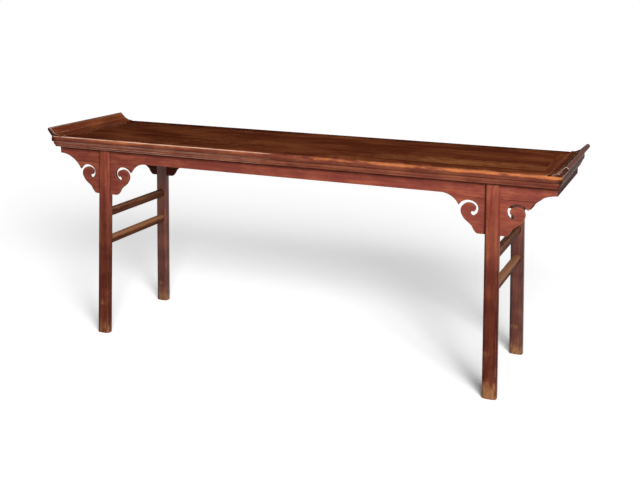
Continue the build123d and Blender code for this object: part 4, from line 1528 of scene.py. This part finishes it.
@dataclass
class Leg:
    """Splayed leg with a slotted head that clamps the apron and the spandrel."""

    sizes: TableSizes = SIZES
    foot_width: float = 54.0
    foot_depth: float = 37.0
    head_width: float = 51.6
    head_depth: float = 36.6
    face_crown: float = 3.0
    side_crown: float = 2.0
    corner: float = 9.0
    toe: float = 2.4
    slot_room: float = 0.08
    face_count: int = 44
    wall_count: int = 5
    head_count: int = 16
    angle_count: int = 721

    def section(self, height: Points, inset: Points | float = 0.0) -> SwellingSection:
        """Section by height: the shaft tapers evenly to the head, which keeps its size.

        Args:
            height: heights above the floor.
            inset: how far the section is drawn in.
        Returns:
            The section at each height.
        """
        share = np.minimum(height / self.sizes.spandrel_bottom, 1)
        width = self.foot_width + (self.head_width - self.foot_width) * share - 2 * inset
        depth = self.foot_depth + (self.head_depth - self.foot_depth) * share - 2 * inset
        return SwellingSection(width, depth, self.side_crown, self.face_crown, self.corner)

    def cut_angle(self, section: SwellingSection, out: Points) -> Points:
        """Normal's angle on the right where each section reaches a distance outwards.

        Args:
            section: the section at (m, 1) heights.
            out: (m, 1) distances outwards from its middle.
        Returns:
            (m, 1) angles.
        """
        angles = np.linspace(-pi / 2, pi / 2, self.angle_count)
        reached = section.point(angles[None])[1]
        cuts = (np.interp(wanted, row, angles) for wanted, row in zip(out[:, 0], reached))
        return np.fromiter(cuts, float)[:, None]

    def sweep(self, low: Points, high: Points) -> Points:
        """Angles of a wide face from low to high, with more points where the flats are."""
        share = np.linspace(0, 1, self.face_count)[None]
        return low + (high - low) * (share + 0.035 * np.sin(4 * pi * share))

    def stretches(self, height: Points, inset: Points | float) -> list[Points]:
        """Angles of the ring's four stretches, which end where the slot's walls leave the skin.

        Args:
            height: (n, 1) heights.
            inset: how far the section is drawn in at each height.
        Returns:
            Angles of the outer face, the left side, the inner face and the right side.
        """
        section = self.section(height, inset)
        middle = self.sizes.leg_place(np.maximum(height, self.sizes.spandrel_bottom))[1]
        half_slot = self.sizes.board_thickness / 2 + self.slot_room
        outer = self.cut_angle(section, self.sizes.board_y + half_slot - middle)
        inner = self.cut_angle(section, self.sizes.board_y - half_slot - middle)
        between = (outer - inner) * np.linspace(0, 1, self.wall_count)[None]
        return [
            self.sweep(outer, pi - outer), (pi - outer) + between,
            self.sweep(pi - inner, 2 * pi + inner), (2 * pi + inner) + between,
        ]

    def carry(
        self, height: Points, inset: Points | float, angle: Points, side: Side, face: Face
    ) -> Points:
        """Points of a leg, set on the leg's line.

        Args:
            height: (m, 1) heights.
            inset: how far the section is drawn in.
            angle: (m, n) normal angles.
            side: end of the table.
            face: long side of the table.
        Returns:
            (m, n, 3) array.
        """
        across, out = self.section(height, inset).point(angle)
        place_x, place_y = self.sizes.leg_place(height)
        return xyz(side * (place_x + across), face * (place_y + out), height)

    def leg(self, name: str, side: Side, face: Face) -> Skin:
        """One leg: a shaft, and above the slot's floor an outer and an inner cheek.

        The cheeks continue the shaft's stretches point by point.  The first cap is the sole,
        the second one the floor of the slot; each cheek has a wall to the slot and a top.

        Args:
            name: name of the piece.
            side: end of the table.
            face: long side of the table.
        Returns:
            The closed skin.
        """
        floor = self.sizes.spandrel_bottom
        inset, lift = rim(self.toe)
        steps = [lift, np.arange(8, 80, 8), np.arange(90, floor - 10, 14), [floor]]
        shaft = np.concatenate(steps)[:, None]
        inset = np.concatenate([inset, np.zeros(len(shaft) - len(inset))])[:, None]
        head = np.linspace(floor, self.sizes.underside - JOINT_ROOM, self.head_count)[:, None]
        skin = Skin(name)
        rings = [
            self.carry(shaft, inset, angles, side, face) for angles in self.stretches(shaft, inset)
        ]
        for part in rings:
            skin.grid(part, self.arris_marks(part))
        skin.cap(np.vstack([part[0, :-1] for part in rings]), 0.3)
        skin.cap(np.vstack([rings[1][-1], rings[3][-1]]), -0.8)
        for angles in self.stretches(head, 0.0)[::2]:
            cheek = self.carry(head, 0.0, angles, side, face)
            joint = np.zeros(angles.shape[1])
            joint[[0, -1]] = -0.9
            skin.grid(cheek, np.minimum(self.arris_marks(cheek), joint[None]))
            skin.grid(cheek[:, [-1, 0]], -0.8)
            skin.cap(cheek[-1], -0.5)
        return skin

    def arris_marks(self, points: Points) -> Points:
        """Rubbed marks on the four rounded corners of a leg and round its toe.

        Args:
            points: (m, n, 3) array.
        Returns:
            (m, n) marks.
        """
        across, out = self.sizes.from_leg(points)
        near = (np.abs(across) / 25.0) ** 6 * (np.abs(out) / 16.0) ** 6
        toe = np.exp(-points[..., 2] / 3.0) * 0.8
        return np.clip(0.55 * np.clip(near * 3, 0, 1) + toe, 0, 1)

    def age(self, points: Points) -> Points:
        """Painted shade: darker below the head and on the corners, least on the front right.

        Args:
            points: (n, 3) array in millimetres.
        Returns:
            How far the colour is darkened, 0 to 1.
        """
        across, out = self.sizes.from_leg(points)
        # Painted shade on the rounded corners: full on the left and back ones, less on the front
        # right one of the right legs, none there on the left legs.
        corner = ramp(np.abs(across), 16.5, 6.5) * ramp(np.abs(out), 8.0, 6.0)
        corner *= np.where((across < 0) | (out > 0), 1.0, 0.45 * (points[:, 0] > 0))
        # Painted shade that deepens below the head, with a slow ripple.
        wax = 0.68 + 0.10 * ripple(points[:, 2] * 5, 0.4)
        return np.clip(wax * under(points[:, 2], 520, 110) + 0.8 * corner, 0, 0.95)

    def rub(self, points: Points, spots: tuple[Spot, ...]) -> Points:
        """Wear that climbs a little from the floor, and a leg's own spots."""
        low = 0.46 * fade(points[:, 2], 75.0)
        return np.clip(low + sum(spot.at(points) for spot in spots), 0, 1)

    def build(self) -> None:
        """Makes and settles the four legs."""
        for face in Face:
            for side in Side:
                corner = label(face, side)
                wood = LEG_WOOD if face is Face.FRONT else BACK_LEG_WOOD
                pith = (side * 0.80 + 0.075 * face, face * 0.17, 0.2 * side)
                settle(
                    self.leg(f"{corner}_leg_shaft", side, face), [f"{corner}_leg"],
                    Lumber(wood, GrainWay.HEIGHT, pith, "leg_wood"),
                    rub=partial(self.rub, spots=LEG_SPOTS[corner]), aged=self.age,
                )


# ---------------- aprons and spandrels
@dataclass
class CloudScroll:
    """Outline of one spandrel wing, outwards from the leg's middle and down from the frame."""

    drop: float = 186.0
    foot: float = 48.0
    cusp: tuple = (120.5, 89.5)
    curl: tuple = (84.0, 107.5)
    curl_radius: float = 28.5
    curl_low: float = -30.0
    curl_throat: float = 128.0
    gap: float = 9.7
    tight_radius: float = 26.0
    gap_turn: float = 132.0
    gap_side: float = 188.0
    gap_end: float = 236.0
    eye: tuple = (69.5, 115.7)
    eye_radius: float = 7.6
    eye_tip: float = 125.0
    eye_low: float = 300.0
    throat: tuple = (59.0, 98.5)
    heel: tuple = (63.0, 174.0)
    waist: tuple = (72.0, 159.0)
    cheek: tuple = (98.0, 137.5)

    def about(self, centre: tuple, radius: float, angle: float) -> tuple:
        """Point on a circle; angles are in degrees, 0 is outwards and 90 is up."""
        return centre[0] + radius * cos(radians(angle)), centre[1] - radius * sin(radians(angle))

    def s_curve(self, start: tuple, end: tuple, end_way: tuple) -> Points:
        """Smooth line from the foot through the heel, the waist and the cheek to the curl.

        Each span is a cubic; a knot's slope runs from the knot before it to the one after it.
        The first span leaves level and the last runs into the curl along its tangent.

        Args:
            start, end: ends of the line.
            end_way: direction that it ends in.
        Returns:
            (n, 2) points.
        """
        knots = np.array([start, self.heel, self.waist, self.cheek, end])
        spans = np.linalg.norm(np.diff(knots, axis=0), axis=1)
        slopes = np.empty_like(knots)
        slopes[0], slopes[-1] = (1, 0), end_way
        slopes[1:-1] = (knots[2:] - knots[:-2]) / (spans[1:] + spans[:-1])[:, None]
        share = np.linspace(0, 1, 11)[:-1, None, None]
        square, cube, span = share ** 2, share ** 3, spans[:, None]
        line = (
            (2 * cube - 3 * square + 1) * knots[:-1]
            + (cube - 2 * square + share) * span * slopes[:-1]
            + (3 * square - 2 * cube) * knots[1:] + (cube - square) * span * slopes[1:]
        )
        return np.vstack([line.transpose(1, 0, 2).reshape(-1, 2), knots[-1]])

    def wing(self, arch_end: float, arch_top: float) -> tuple[Points, Points]:
        """Outline from the foot's middle to the end of the arch, and marks of the sawn gap.

        Args:
            arch_end: where the arch ends, outwards from the leg's middle.
            arch_top: how far below the frame it ends.
        Returns:
            (n, 2) outwards and down, and (n,) marks, below 0 inside the gap.
        """
        wide = self.curl_radius + self.gap
        tight = self.about(self.curl, wide - self.tight_radius, self.gap_turn)
        turn, over = (self.about(self.curl, wide, angle) for angle in (self.gap_turn, 90))
        gap_side, gap_end = (
            self.about(tight, self.tight_radius, angle) for angle in (self.gap_side, self.gap_end)
        )
        eye_low, eye_right, eye_high, tip = (
            self.about(self.eye, self.eye_radius, angle)
            for angle in (self.eye_low, 0, self.eye_tip / 2, self.eye_tip)
        )
        middle = (self.curl_low + self.curl_throat) / 2
        curl_low, curl_top, curl_throat = (
            self.about(self.curl, self.curl_radius, angle)
            for angle in (self.curl_low, middle, self.curl_throat)
        )
        end_way = (-sin(radians(self.curl_low)), -cos(radians(self.curl_low)))
        parts = [
            (np.array([(0.0, self.drop), (self.foot, self.drop)]), 0.0),
            (self.s_curve((self.foot, self.drop), curl_low, end_way), 0.0),
            (arc(curl_low, curl_top, curl_throat, 22), 0.0),
            # Marks below 0 darken the walls of the sawn gap: dust with painted shade.
            (arc(curl_throat, self.throat, tip, 9), -0.5),
            (arc(tip, eye_high, eye_right, 8), -0.7),
            (arc(eye_right, eye_low, gap_end, 12), -0.9),
            (arc(gap_end, gap_side, turn, 12), -0.7),
            (arc(turn, over, self.cusp, 16), -0.5),
            (level_arc(self.cusp, (arch_end, arch_top), 16), 0.0),
        ]
        line = np.vstack([part[:-1] for part, _ in parts] + [parts[-1][0][-1:]])
        marks = [np.full(len(part) - 1, mark) for part, mark in parts]
        return line, np.concatenate([*marks, [0.0]])


@dataclass
class HeadBoards:
    """Aprons from end to end and the spandrels below them, clamped by the leg heads."""

    sizes: TableSizes = SIZES
    scroll: CloudScroll = field(default_factory=CloudScroll)
    middle_arch: float = 186.5
    edge: float = 1.0
    seam_gap: float = 0.04
    seam_softness: float = 0.05
    lip_gap: float = 0.1

    def wing(self, way: int, arch_end: float, arch_top: float) -> tuple[Points, Points]:
        """A wing of the right-hand spandrel in X and Z, and its marks.

        Args:
            way: 1 for the outer wing, -1 for the inner one.
            arch_end, arch_top: as CloudScroll.wing takes them.
        Returns:
            (n, 2) outline and (n,) marks, from the leg's middle to the end of the arch.
        """
        line, marks = self.scroll.wing(arch_end, arch_top)
        x, z = self.sizes.spandrel_x + way * line[:, 0], self.sizes.underside - line[:, 1]
        return np.column_stack([x, z]), marks

    def crossing(self, above: Points, below: Points) -> Points:
        """Point on a short stretch of the arch at the seam's height."""
        share = (self.sizes.seam - below[1]) / (above[1] - below[1])
        return below + share * (above - below)

    def outlines(self) -> tuple[Points, Points, Points, Points]:
        """Spandrel outline with its marks, and the outline of a whole apron with its softness.

        The wings are cut where their arches cross the seam: below it the line belongs to the
        spandrel, above it to the apron.

        Returns:
            (n, 2) and (n,) of the right-hand spandrel, (m, 2) and (m,) of the apron.
        """
        sizes = self.sizes
        end_arch = sizes.end_apron_face - sizes.spandrel_x
        inner, inner_marks = self.wing(-1, self.middle_arch, sizes.apron_height)
        outer, outer_marks = self.wing(1, end_arch, sizes.end_apron_height)
        line = np.vstack([inner[:0:-1], outer])
        marks = np.concatenate([inner_marks[:0:-1], outer_marks])
        first, last = np.flatnonzero(line[:, 1] < sizes.seam)[[0, -1]]
        start = self.crossing(line[first - 1], line[first])
        end = self.crossing(line[last + 1], line[last])
        gap = np.array([0, self.seam_gap])
        spandrel = np.vstack([start - gap, line[first:last + 1], end - gap])
        spandrel_marks = np.concatenate([[0], marks[first:last + 1], [0]])
        reach = sizes.end_apron_face - sizes.end_apron_lip - self.lip_gap
        tail = line[last + 1:]
        tail = tail[tail[:, 0] < reach - 0.5]
        low, high = sizes.underside - sizes.end_apron_height, sizes.underside - JOINT_ROOM
        right = np.vstack([line[:first], start, end, tail, (reach, low), (reach, high)])
        soft = self.softness(len(right), first, first + 1)
        apron = np.vstack([right[::-1] * (-1, 1), right])
        return spandrel, spandrel_marks, apron, np.concatenate([soft[::-1], soft])

    def softness(self, count: int, *joints: int) -> Points:
        """Share of the softening at each point of an outline: little at its joints.

        Args:
            count: how many points the outline has.
            joints: numbers of the points at a joint.
        Returns:
            (count,) shares.
        """
        soft = np.ones(count)
        soft[list(joints)] = self.seam_softness
        return soft

    def apron_rub(self, points: Points) -> Points:
        """Slight wear along the lower edge of an apron."""
        return 0.18 * fade(points[:, 2] - self.sizes.underside + self.sizes.apron_height, 9.0)

    def build(self) -> None:
        """Makes and settles two aprons and four spandrels."""
        spandrel, marks, apron, apron_soft = self.outlines()
        soft = self.softness(len(spandrel), 0, -1)
        half = self.sizes.board_thickness / 2
        for face in Face:
            faces = (face * (self.sizes.board_y - half), face * (self.sizes.board_y + half))
            plate = Plate(Plane.XZ, min(faces), max(faces), self.edge)
            node = f"{label(face)}_apron"
            pith = (0.2 * face, face * 0.30, 0.62)
            settle(
                plate.skin(f"{node}_board", apron, soft=apron_soft), [node],
                Lumber(APRON_WOOD, GrainWay.LENGTH, pith, "apron_wood"), rub=self.apron_rub,
            )
            for side in Side:
                corner = label(face, side)
                outline = spandrel * (side, 1)
                pith = (side * 0.5, face * 0.33, 0.55 + 0.04 * side)
                settle(
                    plate.skin(f"{corner}_cloud_spandrel", outline, marks, soft),
                    [f"{corner}_spandrel"],
                    Lumber(APRON_WOOD, GrainWay.LENGTH, pith, "apron_wood"),
                )


@dataclass
class EndAprons:
    """Short boards that close the ends, rabbeted over the long aprons."""

    sizes: TableSizes = SIZES
    thickness: float = 14.0
    edge: float = 0.9
    edge_border: float = 0.8
    notch_gap: float = 0.1

    def age(self, points: Points) -> Points:
        """The outer side is darker: painted shade."""
        return 0.85 * ramp(np.abs(points[:, 0]) - self.sizes.end_apron_face, -1.5, 1.0)

    def build(self) -> None:
        """Makes and settles both: a plan with two notches, carried up its height."""
        sizes = self.sizes
        face = sizes.end_apron_face
        inner, notch = face - self.thickness, face - sizes.end_apron_lip
        out_y = sizes.board_y + sizes.board_thickness / 2
        in_y = out_y - sizes.board_thickness - self.notch_gap
        half = [(face, out_y, 1.0), (notch, out_y, 0.3), (notch, in_y, 0.2), (inner, in_y, 0.4)]
        plan = [(x, -y, radius) for x, y, radius in half[1::-1]] + half
        plan += [(x, -y, radius) for x, y, radius in half[:1:-1]]
        low, high = sizes.underside - sizes.end_apron_height, sizes.underside - JOINT_ROOM
        plate = Plate(Plane.XY, low, high, self.edge, self.edge_border, stations=2)
        for side in Side:
            node = f"{label(side)}_end_apron"
            loop, _ = rounded([Corner(side * x, y, radius) for x, y, radius in plan], steps=3)
            lumber = Lumber(APRON_WOOD, GrainWay.DEPTH, (side * 1.07, 0.1, 0.70), "apron_wood")
            settle(plate.skin(f"{node}_board", loop), [node], lumber, aged=self.age)


# ---------------- stretchers and battens
class Level(Enum):
    """Stretcher by its height, in millimetres, and the strength of its wear."""

    UPPER = (518.0, 0.4)
    LOWER = (400.0, 0.75)


@dataclass
class Stretchers:
    """Two rails between the legs of each end, their shoulders scribed to the legs."""

    sizes: TableSizes = SIZES
    leg: Leg = field(default_factory=Leg)
    width: float = 31.0
    depth: float = 34.0
    crown: float = 2.0
    corner: float = 10.0
    ring_count: int = 56
    station_count: int = 52
    shoulder: float = 0.4
    joint_mark: float = 0.9

    def bar(self, name: str, height: float, side: Side) -> Skin:
        """One stretcher: its ring carried along Y, each point ending on the legs' skin.

        A point's reach is the leg's middle at that height less the depth of the leg's face
        there; stations share that reach out, so the shoulders follow the lean and the swell.

        Args:
            name: name of the piece.
            height: height of its middle.
            side: end of the table.
        Returns:
            The closed skin.
        """
        section = SwellingSection(
            np.array(self.width), np.array(self.depth), self.crown, self.crown, self.corner
        )
        share = np.linspace(0, 1, self.ring_count + 1)[:-1]
        angle = 2 * pi * share - 0.12 * np.sin(8 * pi * share)
        across, up = section.point(angle)
        place_x, _ = self.sizes.leg_place(height)
        leg_x, leg_y = self.sizes.leg_place(height + up)
        face = self.leg.section(height + up).face_depth(place_x + across - leg_x)
        ends = np.array([1, 0.997, 0.99])
        middle = np.linspace(-0.975, 0.975, self.station_count)
        steps = np.concatenate([-ends, middle, ends[::-1]])[:, None]
        y = steps * (leg_y - face + self.shoulder)[None]
        worn = 0.25 * ripple(y * 2.2, height * 0.01 + side)
        across = across[None] * (1 + worn * 0.012)
        up = up[None] * (1 + worn * 0.010)
        points = xyz(side * (place_x + across), y, height + up)
        joint = -self.joint_mark * fade((1 - np.abs(steps)) * 220, 1.6)
        arris = 0.8 * np.clip(np.abs(np.sin(2 * angle)) ** 3, 0, 1)[None]
        return Skin(name).tube(points, np.where(joint < -0.2, joint, arris), -self.joint_mark)

    def rub(self, points: Points, height: float, strength: float) -> Points:
        """Feet and brooms wear the upper half of a stretcher, the lower one more."""
        return strength * ramp(points[:, 2], height - 4, 14)

    def build(self) -> None:
        """Makes and settles four stretchers."""
        for side in Side:
            for level in Level:
                height, strength = level.value
                node = f"{label(side)}_{level.name.lower()}_stretcher"
                pith = (side * 0.86, 0.1 * side, height * MM - 0.05)
                settle(
                    self.bar(f"{node}_bar", height, side), [node],
                    Lumber(STRETCHER_WOOD, GrainWay.DEPTH, pith, "stretcher_wood"),
                    rub=partial(self.rub, height=height, strength=strength),
                )


@dataclass
class Battens:
    """Hidden battens under the board: their solids have the right shape and keep it."""

    count: int = 4

    def build(self) -> None:
        """Dresses the batten nodes."""
        for number in range(1, self.count + 1):
            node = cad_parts[f"batten_{number}"]
            pith = (node.data.vertices[0].co.x + 0.08, 0.1 * number, 0.75)
            Lumber(HIDDEN_WOOD, GrainWay.DEPTH, pith, "underside_wood").dress(node)
            LOG.info("%s: solid kept and dressed", node.name)


# ---------------- studio
@dataclass(frozen=True)
class SoftBox:
    """Square lamp: where it is, what it is turned to, its side, its spread and its power."""

    name: str
    place: Place
    aim: Place
    size: float
    spread: float
    watts: float

    def build(self) -> None:
        """Makes the lamp and turns it to its aim."""
        data = bpy.data.lights.new(self.name, "AREA")
        data.shape = "SQUARE"
        data.size = self.size
        data.spread = radians(self.spread)
        data.energy = self.watts
        thing = linked(self.name, data)
        thing.location = self.place
        way = Vector(self.aim) - Vector(self.place)
        thing.rotation_euler = way.to_track_quat("-Z", "Y").to_euler()

    def on_floor(self, sheet: NodeSheet, place: Socket) -> Socket:
        """Light that the lamp lays on an empty white floor.

        The lamp is stood in for by four points, at the side over twice the root of three from
        its middle each way, which give nearly what the whole square does.  They share the
        power, over the square of pi and over the tangent of the grid's limit less the limit.

        Args:
            sheet: the floor's sheet.
            place: where on the floor.
        Returns:
            The light, 1 where a white floor is just white.
        """
        middle = Vector(self.place)
        axis = (Vector(self.aim) - middle).normalized()
        side = axis.cross(Vector((0.0, 0.0, 1.0))).normalized()
        rise = side.cross(axis)
        limit = radians(self.spread) / 2
        strength = self.watts / pi ** 2 / (tan(limit) - limit) / 4
        step = self.size / sqrt(12)
        total = None
        for across, up in ((-1, -1), (1, -1), (-1, 1), (1, 1)):
            point = middle + step * (across * side + up * rise)
            light = LAMP_LIGHT.place(
                sheet, Place=place, Lamp=point, Axis=axis, Height=point.z, Grid=tan(limit),
                Strength=strength,
            )["Light"]
            total = light if total is None else sheet.plus(total, light)
        return total


@dataclass
class Studio:
    """Pale floor, soft lamps and the camera."""

    location: Place = (1.4852, -3.4722, 1.4522)
    yaw: float = 0.41292
    pitch: float = 0.25751
    roll: float = 0.00444
    lens: float = 54.489
    film: float = 36.0
    shift: tuple[float, float] = (0.0350, -0.0075)
    world_light: float = 0.08
    floor_half: float = 30.0
    floor_bounce: float = 0.35
    floor_white: float = 1.03
    floor_tone: float = 0.965
    floor_speckle: float = 0.015
    speckle: Noise = Noise(140.0, 140.0, 3.0)
    lamps: tuple[SoftBox, ...] = (
        SoftBox("key_softbox", (2.4, -4.3, 2.95), (-0.3, 0.0, 0.5), 2.3, 90.0, 100.0),
        SoftBox("side_softbox", (3.4, -3.9, 2.8), (-0.3, 0.0, 0.5), 1.7, 100.0, 66.0),
    )

    def camera(self) -> None:
        """Camera at the viewing angle: yaw turns it from +Y towards -X, pitch tips it down."""
        level = Vector((cos(self.yaw), sin(self.yaw), 0.0))
        ahead = Vector((-sin(self.yaw), cos(self.yaw), 0.0))
        forward = ahead * cos(self.pitch) - Vector((0.0, 0.0, sin(self.pitch)))
        upright = level.cross(forward)
        right = cos(self.roll) * level + sin(self.roll) * upright
        up = cos(self.roll) * upright - sin(self.roll) * level
        data = bpy.data.cameras.new("studio_camera")
        data.sensor_width = self.film
        data.lens = self.lens
        data.shift_x, data.shift_y = self.shift
        thing = linked("studio_camera", data)
        turn = Matrix((right, up, -forward)).transposed().to_4x4()
        thing.matrix_world = Matrix.Translation(self.location) @ turn
        bpy.context.scene.camera = thing

    def seen(self, sheet: NodeSheet) -> Socket:
        """One where the camera sees the surface, by itself or in a reflection.

        Args:
            sheet: sheet of the surface.
        Returns:
            The mask.
        """
        path = sheet.node("ShaderNodeLightPath").outputs
        mirrored = sheet.math("MAXIMUM", path["Is Glossy Ray"], path["Is Transmission Ray"])
        return sheet.math("MAXIMUM", path["Is Camera Ray"], mirrored)

    def floor(self) -> None:
        """Wide pale floor that keeps the shadow and runs out to white away from the table.

        The glow makes up, where the floor is seen, what the lamps leave unlit: it is what an
        empty floor lacks to be white, so only the table's shadow is left.
        """
        half = self.floor_half
        mesh = bpy.data.meshes.new("studio_floor")
        corners = [(-half, -half, 0), (half, -half, 0), (half, half, 0), (-half, half, 0)]
        mesh.from_pydata(corners, [], [(0, 1, 2, 3)])
        thing = linked("studio_floor", mesh)
        material = bpy.data.materials.new("pale_floor")
        sheet = NodeSheet.fresh(material)
        place, seen = sheet.place(), self.seen(sheet)
        light = self.world_light
        for lamp in self.lamps:
            light = sheet.plus(lamp.on_floor(sheet, place), light)
        unlit = sheet.minus(self.floor_white, sheet.times(light, self.floor_tone))
        speckle = sheet.noise(place, self.speckle).outputs[0]
        low, high = self.floor_tone - self.floor_speckle, self.floor_tone + self.floor_speckle
        pale = sheet.mix(speckle, (low,) * 3, (high,) * 3)
        colour = sheet.mix(seen, (self.floor_bounce,) * 3, pale)
        glow = sheet.times(sheet.math("MAXIMUM", unlit, 0.0), seen)
        sheet.surface(sheet.node("ShaderNodeAddShader", {
            0: sheet.node("ShaderNodeBsdfDiffuse", {"Color": colour}).outputs[0],
            1: sheet.node("ShaderNodeEmission", {"Color": glow}).outputs[0],
        }))
        mesh.materials.append(material)

    def world(self) -> None:
        """White background for the camera, and a weaker even light for everything else."""
        world = bpy.data.worlds.new("studio_world")
        bpy.context.scene.world = world
        sheet = NodeSheet.fresh(world)
        strength = sheet.span(self.seen(sheet), 0.0, 1.0, self.world_light, 1.0)
        feeds = {"Color": (1.0, 1.0, 1.0), "Strength": strength}
        sheet.surface(sheet.node("ShaderNodeBackground", feeds), "ShaderNodeOutputWorld")

    def build(self) -> None:
        """Sets up the whole studio."""
        self.camera()
        self.floor()
        self.world()
        for lamp in self.lamps:
            lamp.build()
        bpy.context.scene.view_settings.view_transform = "Standard"


def main() -> None:
    """Builds the sub-assemblies in order, then the studio."""
    logging.basicConfig(level=logging.INFO, format="%(name)s: %(message)s")
    for group in (GRAIN, TONE, WEAR, LAMP_LIGHT):
        group.build()
    assemblies = (
        TopFrame(), TopBoard(), EvertedFlange(), Leg(), HeadBoards(), EndAprons(), Stretchers(),
        Battens(), Studio(),
    )
    for assembly in assemblies:
        assembly.build()


if __name__ == "__main__":
    main()
